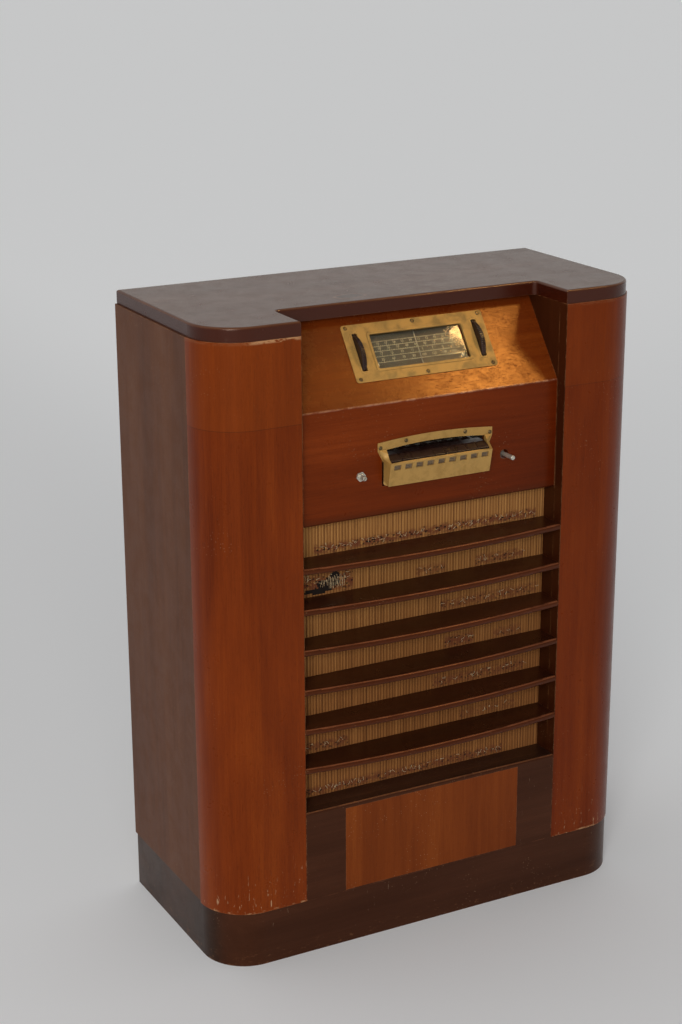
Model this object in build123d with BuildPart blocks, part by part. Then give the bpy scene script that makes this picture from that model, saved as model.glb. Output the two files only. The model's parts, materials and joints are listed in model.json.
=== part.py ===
from build123d import *
from math import asin, atan2, cos, hypot, pi, radians, sin, tan
import os

# Console radio: floor-standing wooden cabinet with louvred grille, sloping dial and key tuning.
# Frame: millimetres, +Z up, +Y to the rear, +X to the right as seen from the front.
# The origin is on the floor at the centre of the bounding box.

os.makedirs("parts", exist_ok=True)

# ---- Cabinet -------------------------------------------------------------------------------
width = 697.0
height = 940.0
front_y = -151.0            # flat front of the pillars
rear_y = 165.0
bow = 14.0                  # how far the louvres stand in front of the pillars
corner_radius = 70.0
board = 18.0                # carcase board
inset = 3.0                 # top board and plinth stand in from the side panels
plinth_height = 84.0
top_thickness = 20.0
under_top = height - top_thickness
shell_chamfer = 3.0         # bottom edge of the shell, over the plinth
bay_half = 211.0            # half the clear width between the pillars
cheek_thickness = 12.0
cheek_rear_y = -30.0
notch_depth = 80.0          # cut in the top board over the dial
side_inner = width / 2 - board
corner_start_y = front_y + corner_radius
stile_rear_y = front_y + board

# ---- Control panel and sloping dial panel --------------------------------------------------
panel_y = -131.5            # front face of the control panel
panel_thickness = 12.0
panel_bottom = 645.0
break_z = 807.0             # edge where the control panel meets the dial panel
dial_lean = 36.5            # dial panel, degrees back from upright
set_x = 7.7                 # the set stands a little right of the cabinet's centre

# ---- Grille --------------------------------------------------------------------------------
louvre_count = 6
louvre_pitch = 60.0
louvre_lowest = 288.0
louvre_thickness = 10.0
cloth_front_y = -106.3
cloth_thickness = 1.0
apron_top = 224.0
sill_thickness = 16.0
inlay_width = 294.0
inlay_bottom = 86.0
inlay_top = 217.0
inlay_thickness = 1.5
baffle_thickness = 12.0
baffle_top = 655.0
speaker_z = 433.0

# ---- Dial ----------------------------------------------------------------------------------
plate_width = 228.0         # stamped escutcheon
plate_low = 33.5            # up the slope from the break edge
plate_high = 120.5
plate_thickness = 1.6
glass_width = 149.0         # visible opening
glass_low = 50.0
glass_high = 103.0
wheel_radius = 35.0
wheel_width = 7.0
wheel_offset = 96.5
wheel_depth = 22.0          # axle, behind the dial panel's face
wheel_up = 78.0
wheel_axle = 3.0
running_fit = 0.05
drum_radius = 41.2          # radius at which the cord lies on the drum
cord_radius = 0.5

# ---- Tuning keys ---------------------------------------------------------------------------
key_count = 9
key_pitch = 17.75
key_gap = 0.7
key_pivot_y = -90.0
key_pivot_z = 728.0
key_pivot_radius = 1.5
lip_half = 82.5             # half width of the escutcheon's label plate
lip_top = (-151.7, 724.0)   # label plate in side view, (y, z)
lip_bottom = (-144.5, 690.0)
lip_thickness = 1.8
key_slot_top = 745.5        # top of the hole in the control panel behind the keys

# ---- Chassis -------------------------------------------------------------------------------
shelf_bottom = 640.0
shelf_thickness = 16.0
shelf_top = shelf_bottom + shelf_thickness
chassis_front_y = -56.0
chassis_rear_y = 134.0
chassis_half = 150.0
chassis_height = 70.0
chassis_top = shelf_top + chassis_height
sheet = 1.2
knob_radius = 3.175         # quarter-inch end of a control shaft, where its knob pushes on
shank_radius = 3.0          # the rest of the shaft
bushing_radius = 4.6        # panel bushing round the volume shaft
volume_x = -112.0
tuning_x = 123.0
shaft_z = 707.0
gang_x = 25.0
gang_z = 772.0
drum_y = -63.0


def save(part, name):
    """Label a finished piece and write it as its own STEP file."""
    part.label = name
    export_step(part, f"parts/{name}.step")


def group(parts):
    """Join separate solids of one kind into one node."""
    return Compound(children=[solid for part in parts for solid in part.solids()])


def slab(x_span, y_span, z_span):
    """A plain rectangular board between the given limits."""
    with BuildPart() as piece:
        with BuildSketch(Plane.XY.offset(z_span[0])):
            with Locations(((x_span[0] + x_span[1]) / 2, (y_span[0] + y_span[1]) / 2)):
                Rectangle(x_span[1] - x_span[0], y_span[1] - y_span[0])
        extrude(amount=z_span[1] - z_span[0])
    return piece.part


def side_profile(points, x_span):
    """A prism along X from a closed outline given as (y, z) points."""
    with BuildPart() as piece:
        with BuildSketch(Plane.YZ.offset(x_span[0])):
            with BuildLine():
                Polyline(*points, close=True)
            make_face()
        extrude(amount=x_span[1] - x_span[0])
    return piece.part


def rod(radius, start, direction, length):
    """A round bar from a start point along a direction."""
    with BuildPart() as piece:
        with BuildSketch(Plane(origin=start, z_dir=direction)):
            Circle(radius)
        extrude(amount=length)
    return piece.part


def mirrored(part):
    """The same piece on the other side of the cabinet."""
    return mirror(part, about=Plane.YZ)


# The dial plane's local x is the frame's +X, local y runs up the slope, local z points out.
lean = radians(dial_lean)
dial_plane = Plane(origin=(set_x, panel_y, break_z), x_dir=(1, 0, 0), z_dir=(0, -cos(lean), sin(lean)))


def on_dial(x, up, depth):
    """Point on the dial, `depth` behind the dial panel's face."""
    return (
        set_x + x,
        panel_y + up * sin(lean) + depth * cos(lean),
        break_z + up * cos(lean) - depth * sin(lean),
    )


def dial_block(x_span, up_span, depth_span):
    """A block in the dial plane's own directions."""
    with BuildPart() as piece:
        with BuildSketch(dial_plane.offset(-depth_span[1])):
            with Locations(((x_span[0] + x_span[1]) / 2, (up_span[0] + up_span[1]) / 2)):
                Rectangle(x_span[1] - x_span[0], up_span[1] - up_span[0])
        extrude(amount=depth_span[1] - depth_span[0])
    return piece.part


# ============================================================================================
# Carcase
# ============================================================================================
outer_half = width / 2 - inset
outer_front_y = front_y + 1.0
outer_radius = corner_radius - inset


def shell_outline(half, front, radius, rear):
    """Plan of the cabinet: square at the back, round at the two front corners."""
    with BuildLine() as line:
        Polyline((-half, front + radius), (-half, rear), (half, rear), (half, front + radius))
        RadiusArc((half, front + radius), (half - radius, front), radius)
        Line((half - radius, front), (-half + radius, front))
        RadiusArc((-half + radius, front), (-half, front + radius), radius)
    return line.line


with BuildPart() as plinth:
    with BuildSketch():
        with BuildLine():
            add(shell_outline(outer_half, outer_front_y, outer_radius, rear_y))
        make_face()
        with BuildLine(mode=Mode.PRIVATE) as plinth_inner:
            add(shell_outline(outer_half - board, outer_front_y + board, outer_radius - board, rear_y))
        with BuildSketch(mode=Mode.PRIVATE) as plinth_hollow:
            add(plinth_inner.line)
            make_face()
        add(plinth_hollow.sketch, mode=Mode.SUBTRACT)
    extrude(amount=plinth_height)
save(plinth.part, "plinth")

with BuildPart() as side_panel:
    with BuildSketch(Plane.XY.offset(plinth_height)):
        with Locations((-width / 2 + board / 2, (corner_start_y + rear_y) / 2)):
            Rectangle(board, rear_y - corner_start_y)
    extrude(amount=under_top - plinth_height)
    outer_bottom = side_panel.edges().filter_by(Axis.Y).group_by(Axis.Z)[0].sort_by(Axis.X)[0]
    chamfer(outer_bottom, shell_chamfer)
save(side_panel.part, "left_side_panel")
save(mirrored(side_panel.part), "right_side_panel")

with BuildPart() as corner_post:
    post_x = -width / 2
    with BuildSketch(Plane.XY.offset(plinth_height)):
        with BuildLine():
            RadiusArc((post_x, corner_start_y), (post_x + corner_radius, front_y), -corner_radius)
            Polyline(
                (post_x + corner_radius, front_y),
                (-bay_half, front_y),
                (-bay_half, stile_rear_y),
                (post_x + corner_radius, stile_rear_y),
            )
            RadiusArc(
                (post_x + corner_radius, stile_rear_y),
                (post_x + board, corner_start_y),
                corner_radius - board,
            )
            Line((post_x + board, corner_start_y), (post_x, corner_start_y))
        make_face()
    extrude(amount=under_top - plinth_height)
save(corner_post.part, "left_corner_post")
save(mirrored(corner_post.part), "right_corner_post")

inner_cheek = slab(
    (-bay_half - cheek_thickness, -bay_half),
    (stile_rear_y, cheek_rear_y),
    (plinth_height, under_top),
)
save(inner_cheek, "left_inner_cheek")
save(mirrored(inner_cheek), "right_inner_cheek")

with BuildPart() as top_board:
    with BuildSketch(Plane.XY.offset(under_top)):
        with BuildLine():
            add(shell_outline(outer_half, outer_front_y, outer_radius, rear_y))
        make_face()
        with Locations((0, outer_front_y + notch_depth / 2)):
            Rectangle(2 * bay_half, notch_depth, mode=Mode.SUBTRACT)
    extrude(amount=top_thickness)
    notch_corners = top_board.edges().filter_by(Axis.Z).filter_by_position(
        Axis.Y, outer_front_y + notch_depth - 1.0, outer_front_y + notch_depth + 1.0
    )
    fillet(notch_corners, 8.0)
    fillet(top_board.faces().sort_by(Axis.Z)[-1].edges(), 3.5)
save(top_board.part, "top_board")

# Softwood inside: shelf battens, battens under the top board, and the two rails at the back.
batten = 20.0
battens = []
for side in (-1, 1):
    x_limits = sorted((side * side_inner, side * (side_inner - batten)))
    battens.append(slab(x_limits, (cheek_rear_y, 140.0), (shelf_bottom - batten, shelf_bottom)))
    battens.append(slab(x_limits, (cheek_rear_y, 140.0), (under_top - batten, under_top)))
battens.append(slab((-side_inner, side_inner), (rear_y - board, rear_y), (under_top - 40.0, under_top)))
rail_half = outer_half - board
battens.append(slab((-rail_half, rail_half), (rear_y - board, rear_y), (12.0, 72.0)))
save(group(battens), "inner_battens")

# ============================================================================================
# Front: panels, apron, grille
# ============================================================================================
mitre_drop = panel_thickness * (1 - cos(lean)) / sin(lean)
mitre_point = (panel_y + panel_thickness, break_z - mitre_drop)
slope_run = (under_top - break_z) * tan(lean)

screw_hole = 1.4
dial_screws = [(x, up) for up in (plate_low + 4.5, plate_high - 4.5) for x in (-107.0, 0.0, 107.0)]
scale_screws = [(-69.5, 59.6), (69.5, 59.6)]
key_screws = [(-89.0, 744.0), (-48.0, 749.8), (48.0, 749.8), (89.0, 744.0)]

with BuildPart() as dial_panel:
    with BuildSketch(Plane.YZ.offset(-bay_half)):
        with BuildLine():
            Polyline(
                (panel_y, break_z),
                (panel_y + slope_run, under_top),
                (panel_y + slope_run + panel_thickness / cos(lean), under_top),
                mitre_point,
                close=True,
            )
        make_face()
    extrude(amount=2 * bay_half)
    with BuildSketch(dial_plane):
        with Locations((0, 76.5)):
            Rectangle(156.0, 65.0)
        with Locations((-wheel_offset, wheel_up), (wheel_offset, wheel_up)):
            Rectangle(10.0, 72.0)
    extrude(amount=-2 * panel_thickness, mode=Mode.SUBTRACT)
    with BuildSketch(dial_plane):
        with Locations(*dial_screws):
            Circle(screw_hole)
    extrude(amount=-8.0, mode=Mode.SUBTRACT)
save(dial_panel.part, "dial_panel")

with BuildPart() as control_panel:
    with BuildSketch(Plane.YZ.offset(-bay_half)):
        with BuildLine():
            Polyline(
                (panel_y, panel_bottom),
                (panel_y, break_z),
                mitre_point,
                (panel_y + panel_thickness, panel_bottom),
                close=True,
            )
        make_face()
    extrude(amount=2 * bay_half)
    lower_edge = control_panel.edges().filter_by(Axis.X).group_by(Axis.Z)[0].sort_by(Axis.Y)[0]
    fillet(lower_edge, 4.0)
    with BuildSketch(Plane.XZ.offset(-panel_y)):
        with Locations((set_x, (688.0 + key_slot_top) / 2)):
            Rectangle(2 * lip_half + 6.0, key_slot_top - 688.0)
        with Locations((volume_x, shaft_z)):
            Circle(4.8)
        with Locations((tuning_x, shaft_z)):
            Circle(7.0)
    extrude(amount=-2 * panel_thickness, mode=Mode.SUBTRACT)
    with BuildSketch(Plane.XZ.offset(-panel_y)):
        with Locations(*[(set_x + x, z) for x, z in key_screws]):
            Circle(screw_hole)
    extrude(amount=-8.0, mode=Mode.SUBTRACT)
save(control_panel.part, "control_panel")

with BuildPart() as apron:
    with BuildSketch(Plane.XY.offset(plinth_height)):
        with Locations((0, (front_y + stile_rear_y) / 2)):
            Rectangle(2 * bay_half, board)
    extrude(amount=apron_top - plinth_height)
    upper_front = apron.edges().filter_by(Axis.X).group_by(Axis.Z)[-1].sort_by(Axis.Y)[0]
    fillet(upper_front, 5.0)
    with BuildSketch(Plane.XZ.offset(-front_y)):
        with Locations((0, (inlay_bottom + inlay_top) / 2)):
            Rectangle(inlay_width, inlay_top - inlay_bottom)
    extrude(amount=-inlay_thickness, mode=Mode.SUBTRACT)
save(apron.part, "apron")

apron_inlay = slab(
    (-inlay_width / 2, inlay_width / 2),
    (front_y, front_y + inlay_thickness),
    (inlay_bottom, inlay_top),
)
save(apron_inlay, "apron_inlay")

grille_sill = slab(
    (-bay_half, bay_half),
    (stile_rear_y, cloth_front_y),
    (apron_top - sill_thickness, apron_top),
)
save(grille_sill, "grille_sill")

with BuildPart() as louvre:
    with BuildSketch(Plane.XY.offset(louvre_lowest - louvre_thickness / 2)):
        with BuildLine():
            ThreePointArc((-bay_half, front_y), (0, front_y - bow), (bay_half, front_y))
            Polyline(
                (bay_half, front_y),
                (bay_half, cloth_front_y),
                (-bay_half, cloth_front_y),
                (-bay_half, front_y),
            )
        make_face()
    extrude(amount=louvre_thickness)
    fillet(louvre.edges().filter_by(GeomType.CIRCLE), 4.5)
louvres = [louvre.part.moved(Location((0, 0, i * louvre_pitch))) for i in range(louvre_count)]
save(group(louvres), "louvres")

cloth = slab(
    (-bay_half, bay_half),
    (cloth_front_y, cloth_front_y + cloth_thickness),
    (apron_top - sill_thickness, baffle_top),
)
save(cloth, "grille_cloth")

baffle_front_y = cloth_front_y + cloth_thickness
baffle_rear_y = baffle_front_y + baffle_thickness
speaker_bolt_circle = 141.5
with BuildPart() as speaker_baffle:
    with BuildSketch(Plane.XZ.offset(-baffle_front_y)):
        with Locations((0, (apron_top - sill_thickness + baffle_top) / 2)):
            Rectangle(2 * bay_half, baffle_top - apron_top + sill_thickness)
        with Locations((0, speaker_z)):
            Circle(132.0, mode=Mode.SUBTRACT)
            with PolarLocations(speaker_bolt_circle, 4, start_angle=45):
                Circle(2.7, mode=Mode.SUBTRACT)
    extrude(amount=-baffle_thickness)
save(speaker_baffle.part, "speaker_baffle")

# ============================================================================================
# Chassis shelf and chassis
# ============================================================================================
tab_y = (-40.0, 118.0)
tab_x = chassis_half + 9.0
tab_points = [(set_x + side * tab_x, y) for side in (-1, 1) for y in tab_y]

with BuildPart() as chassis_shelf:
    with BuildSketch(Plane.XY.offset(shelf_bottom)):
        with Locations((0, (cheek_rear_y + 0.3 + 150.0) / 2)):
            Rectangle(2 * side_inner, 149.7 - cheek_rear_y)
        with Locations((0, -61.0)):
            Rectangle(2 * bay_half, 64.0)
        with Locations(*tab_points):
            Circle(3.2, mode=Mode.SUBTRACT)
    extrude(amount=shelf_thickness)
save(chassis_shelf.part, "chassis_shelf")

valve_places = [(-110, -20), (-62, -22), (-28, 98), (22, 106), (74, 104), (124, 92)]
grommet_place = (-100.0, 690.0)
with BuildPart() as chassis:
    chassis_mid_y = (chassis_front_y + chassis_rear_y) / 2
    chassis_depth = chassis_rear_y - chassis_front_y
    with BuildSketch(Plane.XY.offset(shelf_top)):
        with Locations((set_x, chassis_mid_y)):
            RectangleRounded(2 * chassis_half, chassis_depth, 4.0)
    extrude(amount=chassis_height)
    with BuildSketch(Plane.XY.offset(shelf_top)):
        with Locations((set_x, chassis_mid_y)):
            RectangleRounded(2 * (chassis_half - sheet), chassis_depth - 2 * sheet, 2.8)
    extrude(amount=chassis_height - sheet, mode=Mode.SUBTRACT)
    with BuildSketch(Plane.XY.offset(shelf_top)):
        for side in (-1, 1):
            for y in tab_y:
                with Locations((set_x + side * (chassis_half + 8.5), y)):
                    Rectangle(19.0, 20.0)
        with Locations(*tab_points):
            Circle(3.2, mode=Mode.SUBTRACT)
    extrude(amount=sheet)
    with BuildSketch(Plane.XZ.offset(-chassis_front_y)):
        with Locations((volume_x, shaft_z)):
            Circle(4.8)
        with Locations((tuning_x, shaft_z)):
            Circle(shank_radius + running_fit)
    extrude(amount=-2 * sheet, mode=Mode.SUBTRACT)
    with BuildSketch(Plane.XZ.offset(-chassis_rear_y)):
        with Locations(grommet_place):
            Circle(7.0)
    extrude(amount=2 * sheet, both=True, mode=Mode.SUBTRACT)
save(chassis.part, "chassis")

with BuildPart() as cord_grommet:
    with BuildSketch(Plane.XZ.offset(-chassis_rear_y - 2.0)):
        with Locations(grommet_place):
            Circle(10.0)
            Circle(4.0, mode=Mode.SUBTRACT)
    extrude(amount=5.2)
    with BuildSketch(Plane.XZ.offset(-chassis_rear_y)):
        with Locations(grommet_place):
            Circle(12.0)
            Circle(7.0, mode=Mode.SUBTRACT)
    extrude(amount=sheet, mode=Mode.SUBTRACT)
save(cord_grommet.part, "cord_grommet")

# --- Parts on top of the chassis ------------------------------------------------------------
with BuildPart() as power_transformer:
    with BuildSketch(Plane.XY.offset(chassis_top)):
        with Locations((-98, 90)):
            Rectangle(76, 30)
    extrude(amount=66)
    with BuildSketch(Plane.XY.offset(chassis_top + 4)):
        with Locations((-98, 90)):
            RectangleRounded(64, 70, 8)
    extrude(amount=58)
    fillet(power_transformer.faces().sort_by(Axis.Y)[-1].edges(), 5.0)
save(power_transformer.part, "power_transformer")

valve_base_height = 22.0
bulb_radius = 16.5
bases = []
bulbs = []
for place in valve_places:
    with BuildPart() as valve_base:
        with BuildSketch(Plane.XY.offset(chassis_top)):
            with Locations(place):
                Circle(17)
        extrude(amount=valve_base_height)
        chamfer(valve_base.edges().group_by(Axis.Z)[-1], 1.5)
    bases.append(valve_base.part)
    bulb_z = chassis_top + valve_base_height
    dome_z = bulb_z + 52.0
    with BuildPart() as bulb:
        with BuildSketch(Plane(origin=(place[0], place[1], 0), x_dir=(1, 0, 0), z_dir=(0, -1, 0))):
            with BuildLine():
                Line((0, bulb_z), (14, bulb_z))
                Polyline((14, bulb_z), (bulb_radius, bulb_z + 9), (bulb_radius, dome_z))
                RadiusArc((bulb_radius, dome_z), (0, dome_z + bulb_radius), -bulb_radius)
                Line((0, dome_z + bulb_radius), (0, bulb_z))
            make_face()
        revolve(axis=Axis((place[0], place[1], 0), (0, 0, 1)))
    bulbs.append(bulb.part)
save(group(bases), "valve_bases")
save(group(bulbs), "valve_bulbs")

cans = []
for place in ((88, 22), (132, 30)):
    with BuildPart() as screening_can:
        with BuildSketch(Plane.XY.offset(chassis_top)):
            with Locations(place):
                RectangleRounded(35, 35, 4)
        extrude(amount=78)
        fillet(screening_can.faces().sort_by(Axis.Z)[-1].edges(), 3.0)
    cans.append(screening_can.part)
save(group(cans), "screening_cans")

capacitors = []
for place in ((-48, 32), (-98, 27)):
    with BuildPart() as capacitor:
        with BuildSketch(Plane.XY.offset(chassis_top)):
            with Locations(place):
                Circle(17)
        extrude(amount=84)
        fillet(capacitor.edges().group_by(Axis.Z)[-1], 2.5)
    capacitors.append(capacitor.part)
save(group(capacitors), "filter_capacitors")

# --- Volume control and its bare shaft ------------------------------------------------------
volume_front_y = chassis_front_y + sheet
with BuildPart() as volume_control:
    with BuildSketch(Plane.XZ.offset(-volume_front_y)):
        with Locations((volume_x, shaft_z)):
            Circle(14.5)
    extrude(amount=-16.0)
    with BuildSketch(Plane.XZ.offset(-volume_front_y)):
        with Locations((volume_x, shaft_z)):
            Circle(4.75)
    extrude(amount=11.0)
    with BuildSketch(Plane.XZ.offset(-volume_front_y + 11.0)):
        with Locations((volume_x, shaft_z)):
            Circle(shank_radius + running_fit)
    extrude(amount=-22.0, mode=Mode.SUBTRACT)
save(volume_control.part, "volume_control")



def control_shaft(x, tip_y, knob_start_y, end_y):
    """A shaft along Y: its knob end from tip_y back to knob_start_y, its shank on to end_y."""
    with BuildPart() as shaft:
        with BuildSketch(Plane.XZ.offset(-knob_start_y)):
            with Locations((x, shaft_z)):
                Circle(knob_radius)
        extrude(amount=knob_start_y - tip_y)
        chamfer(shaft.faces().sort_by(Axis.Y)[0].edges(), 0.5)
        with BuildSketch(Plane.XZ.offset(-end_y)):
            with Locations((x, shaft_z)):
                Circle(shank_radius)
        extrude(amount=end_y - knob_start_y)
    return shaft.part


volume_tip_y = panel_y - 13.5
bushing_front_y = panel_y - 5.0
with BuildPart() as volume_shaft:
    add(control_shaft(volume_x, volume_tip_y, bushing_front_y - 0.3, volume_front_y + 10.0))
    with BuildSketch(Plane.XZ.offset(-volume_tip_y)):
        with Locations(Location((volume_x, shaft_z), 54)):
            Rectangle(8.0, 1.1)
    extrude(amount=-7.0, mode=Mode.SUBTRACT)
save(volume_shaft.part, "volume_shaft")

save(control_shaft(tuning_x, panel_y - 24.0, panel_y - 1.0, chassis_front_y + 10.0), "tuning_shaft")

# The volume shaft passes through a threaded bushing with a flat nut against the panel.
with BuildPart() as panel_bushing:
    with BuildSketch(Plane.XZ.offset(-panel_y - panel_thickness - 1.0)):
        with Locations((volume_x, shaft_z)):
            Circle(bushing_radius)
    extrude(amount=panel_y + panel_thickness + 1.0 - bushing_front_y)
    chamfer(panel_bushing.faces().sort_by(Axis.Y)[0].edges(), 0.5)
    with BuildSketch(Plane.XZ.offset(-panel_y)):
        with Locations(Location((volume_x, shaft_z), 12)):
            RegularPolygon(6.2, 6, major_radius=False)
    extrude(amount=2.4)
    with BuildSketch(Plane.XZ.offset(-bushing_front_y)):
        with Locations((volume_x, shaft_z)):
            Circle(shank_radius + running_fit)
    extrude(amount=-30.0, mode=Mode.SUBTRACT)

# --- Tuning gang: fixed frame and plates, turning rotor -------------------------------------
gang_half = 26.0
gang_end = 50.0
plate_pitch = 3.0
vane = 0.8
section_ys = (-28.0, 0.0, 28.0)
with BuildPart() as gang_frame:
    with BuildSketch(Plane.XY.offset(chassis_top)):
        with Locations((gang_x, 0)):
            Rectangle(2 * gang_half, 2 * gang_end)
    extrude(amount=2.0)
    for end_y in (-gang_end + 2.0, gang_end):
        with BuildSketch(Plane.XZ.offset(-end_y)):
            with Locations((gang_x, chassis_top + 37.0)):
                RectangleRounded(2 * gang_half, 74.0, 6.0)
            with Locations((gang_x, gang_z)):
                Circle(3.0 + running_fit, mode=Mode.SUBTRACT)
        extrude(amount=2.0)
    for section_y in section_ys:
        for i in range(6):
            vane_y = section_y + (i - 2.5) * plate_pitch + vane / 2
            with BuildSketch(Plane.XZ.offset(-vane_y)):
                with Locations((gang_x + 14.5, gang_z)):
                    Rectangle(20.0, 44.0)
            extrude(amount=vane)
    with BuildSketch(Plane.XZ.offset(gang_end - 1.0)):
        with Locations((gang_x + 22.5, gang_z + 19.5), (gang_x + 22.5, gang_z - 19.5)):
            Circle(1.6)
    extrude(amount=-2 * gang_end + 2.0)
save(gang_frame.part, "gang_frame")

drum_width = 6.0
with BuildPart() as gang_rotor:
    with BuildSketch(Plane.XZ.offset(-gang_end - 4.0)):
        with Locations((gang_x, gang_z)):
            Circle(3.0)
    extrude(amount=gang_end + 4.0 - drum_y + 6.0)
    for section_y in section_ys:
        for i in range(5):
            vane_y = section_y + (i - 2) * plate_pitch + vane / 2
            with BuildSketch(Plane.XZ.offset(-vane_y)):
                with Locations((gang_x, gang_z)):
                    Circle(18.0)
                with Locations((gang_x, gang_z - 10.0)):
                    Rectangle(40.0, 20.0, mode=Mode.SUBTRACT)
            extrude(amount=vane)
save(gang_rotor.part, "gang_rotor")

with BuildPart() as dial_drum:
    with BuildSketch(Plane.XZ.offset(-drum_y - drum_width / 2)):
        with Locations((gang_x, gang_z)):
            Circle(drum_radius + 1.2)
            Circle(3.0, mode=Mode.SUBTRACT)
            with PolarLocations(23.0, 5):
                Circle(9.0, mode=Mode.SUBTRACT)
    extrude(amount=drum_width)
    groove_plane = Plane.XZ.offset(-drum_y - 1.5)
    with BuildSketch(groove_plane):
        with Locations((gang_x, gang_z)):
            Circle(drum_radius + 3.0)
            Circle(drum_radius - 0.9, mode=Mode.SUBTRACT)
    extrude(amount=3.0, mode=Mode.SUBTRACT)
save(dial_drum.part, "dial_drum")

# The drive cord is one loop round the tuning shaft and the drum.
spindle_cord_radius = shank_radius + 0.3 + cord_radius
cord_dx = tuning_x - gang_x
cord_dz = shaft_z - gang_z
cord_span = hypot(cord_dx, cord_dz)
cord_angle = atan2(cord_dz, cord_dx)
cord_wrap = asin((drum_radius - spindle_cord_radius) / cord_span)
tangent_up = cord_angle + pi / 2 - cord_wrap
tangent_down = cord_angle - pi / 2 + cord_wrap


def on_circle(centre, radius, angle):
    """Point on a circle at an angle."""
    return (centre[0] + radius * cos(angle), centre[1] + radius * sin(angle))


drum_centre = (gang_x, gang_z)
spindle_centre = (tuning_x, shaft_z)


def cord_loop(grow):
    """Outline of the cord loop, larger or smaller than its centre line by `grow`."""
    big = drum_radius + grow
    small = spindle_cord_radius + grow
    with BuildLine() as line:
        ThreePointArc(
            on_circle(drum_centre, big, tangent_up),
            on_circle(drum_centre, big, cord_angle + pi),
            on_circle(drum_centre, big, tangent_down),
        )
        Line(on_circle(drum_centre, big, tangent_down), on_circle(spindle_centre, small, tangent_down))
        ThreePointArc(
            on_circle(spindle_centre, small, tangent_down),
            on_circle(spindle_centre, small, cord_angle),
            on_circle(spindle_centre, small, tangent_up),
        )
        Line(on_circle(spindle_centre, small, tangent_up), on_circle(drum_centre, big, tangent_up))
    return line.line


with BuildPart() as drive_cord:
    with BuildSketch(Plane.XZ.offset(-drum_y - cord_radius)):
        with BuildLine():
            add(cord_loop(cord_radius))
        make_face()
        with BuildSketch(mode=Mode.PRIVATE) as cord_inside:
            add(cord_loop(-cord_radius))
            make_face()
        add(cord_inside.sketch, mode=Mode.SUBTRACT)
    extrude(amount=2 * cord_radius)
save(drive_cord.part, "drive_cord")

# ============================================================================================
# Dial: escutcheon, window, scale, pointer, lamps, thumbwheels
# ============================================================================================
plate_mid = (plate_low + plate_high) / 2
glass_mid = (glass_low + glass_high) / 2
wheel_places = ((-wheel_offset, wheel_up), (wheel_offset, wheel_up))
bezel = 4.0
with BuildPart() as dial_escutcheon:
    with BuildSketch(dial_plane):
        with Locations((0, plate_mid)):
            RectangleRounded(plate_width, plate_high - plate_low, 4.0)
    extrude(amount=plate_thickness)
    with BuildSketch(dial_plane.offset(plate_thickness)):
        with Locations((0, glass_mid)):
            RectangleRounded(glass_width + 2 * bezel, glass_high - glass_low + 2 * bezel, 5.0)
    extrude(amount=1.6, taper=30)
    with BuildSketch(dial_plane.offset(plate_thickness)):
        with Locations(*wheel_places):
            RectangleRounded(14.0, 63.0, 4.0)
    extrude(amount=0.8, taper=30)
    with BuildSketch(dial_plane):
        with Locations((0, glass_mid)):
            RectangleRounded(glass_width, glass_high - glass_low, 3.0)
        with Locations(*wheel_places):
            RectangleRounded(8.6, 57.5, 2.0)
        with Locations(*dial_screws):
            Circle(1.6)
    extrude(amount=8.0, mode=Mode.SUBTRACT)
save(dial_escutcheon.part, "dial_escutcheon")

dial_window = dial_block((-77.0, 77.0), (45.0, 108.0), (0.2, 2.2))
save(dial_window, "dial_window")

with BuildPart() as dial_scale:
    with BuildSketch(dial_plane.offset(-10.4)):
        with Locations((0, 79.5)):
            Rectangle(152.0, 56.0)
        with Locations(*scale_screws):
            Circle(1.6, mode=Mode.SUBTRACT)
    extrude(amount=1.4)
save(dial_scale.part, "dial_scale")

# The back plate carries the pointer's rail on two posts below the scale.
rail_up = 47.0
rail_depth = 6.0
rail_radius = 1.0
back_depth = panel_thickness + 0.1
with BuildPart() as dial_backplate:
    with BuildSketch(dial_plane.offset(-back_depth - sheet)):
        with Locations((0, 76.5)):
            Rectangle(172.0, 76.0)
        with Locations(*scale_screws):
            Circle(1.6, mode=Mode.SUBTRACT)
        with Locations((-30.0, 100.0), (30.0, 100.0)):
            Circle(6.6, mode=Mode.SUBTRACT)
    extrude(amount=sheet)
    with BuildSketch(dial_plane.offset(-back_depth)):
        with Locations((-75.5, rail_up), (75.5, rail_up)):
            Rectangle(3.0, 4.0)
    extrude(amount=back_depth - 4.4)
    with BuildSketch(Plane(origin=on_dial(-75.5, rail_up, rail_depth), x_dir=(0, 1, 0), z_dir=(1, 0, 0))):
        Circle(rail_radius)
    extrude(amount=151.0)
save(dial_backplate.part, "dial_backplate")

with BuildPart() as dial_pointer:
    with BuildSketch(dial_plane.offset(-5.6)):
        with Locations((0, 77.5)):
            Rectangle(1.2, 57.0)
    extrude(amount=0.8)
    with BuildSketch(dial_plane.offset(-rail_depth - 1.8)):
        with Locations((0, rail_up)):
            Rectangle(9.0, 4.2)
    extrude(amount=3.4)
    with BuildSketch(Plane(origin=on_dial(-6.0, rail_up, rail_depth), x_dir=(0, 1, 0), z_dir=(1, 0, 0))):
        Circle(rail_radius + running_fit)
    extrude(amount=12.0, mode=Mode.SUBTRACT)
save(dial_pointer.part, "dial_pointer")

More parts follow.
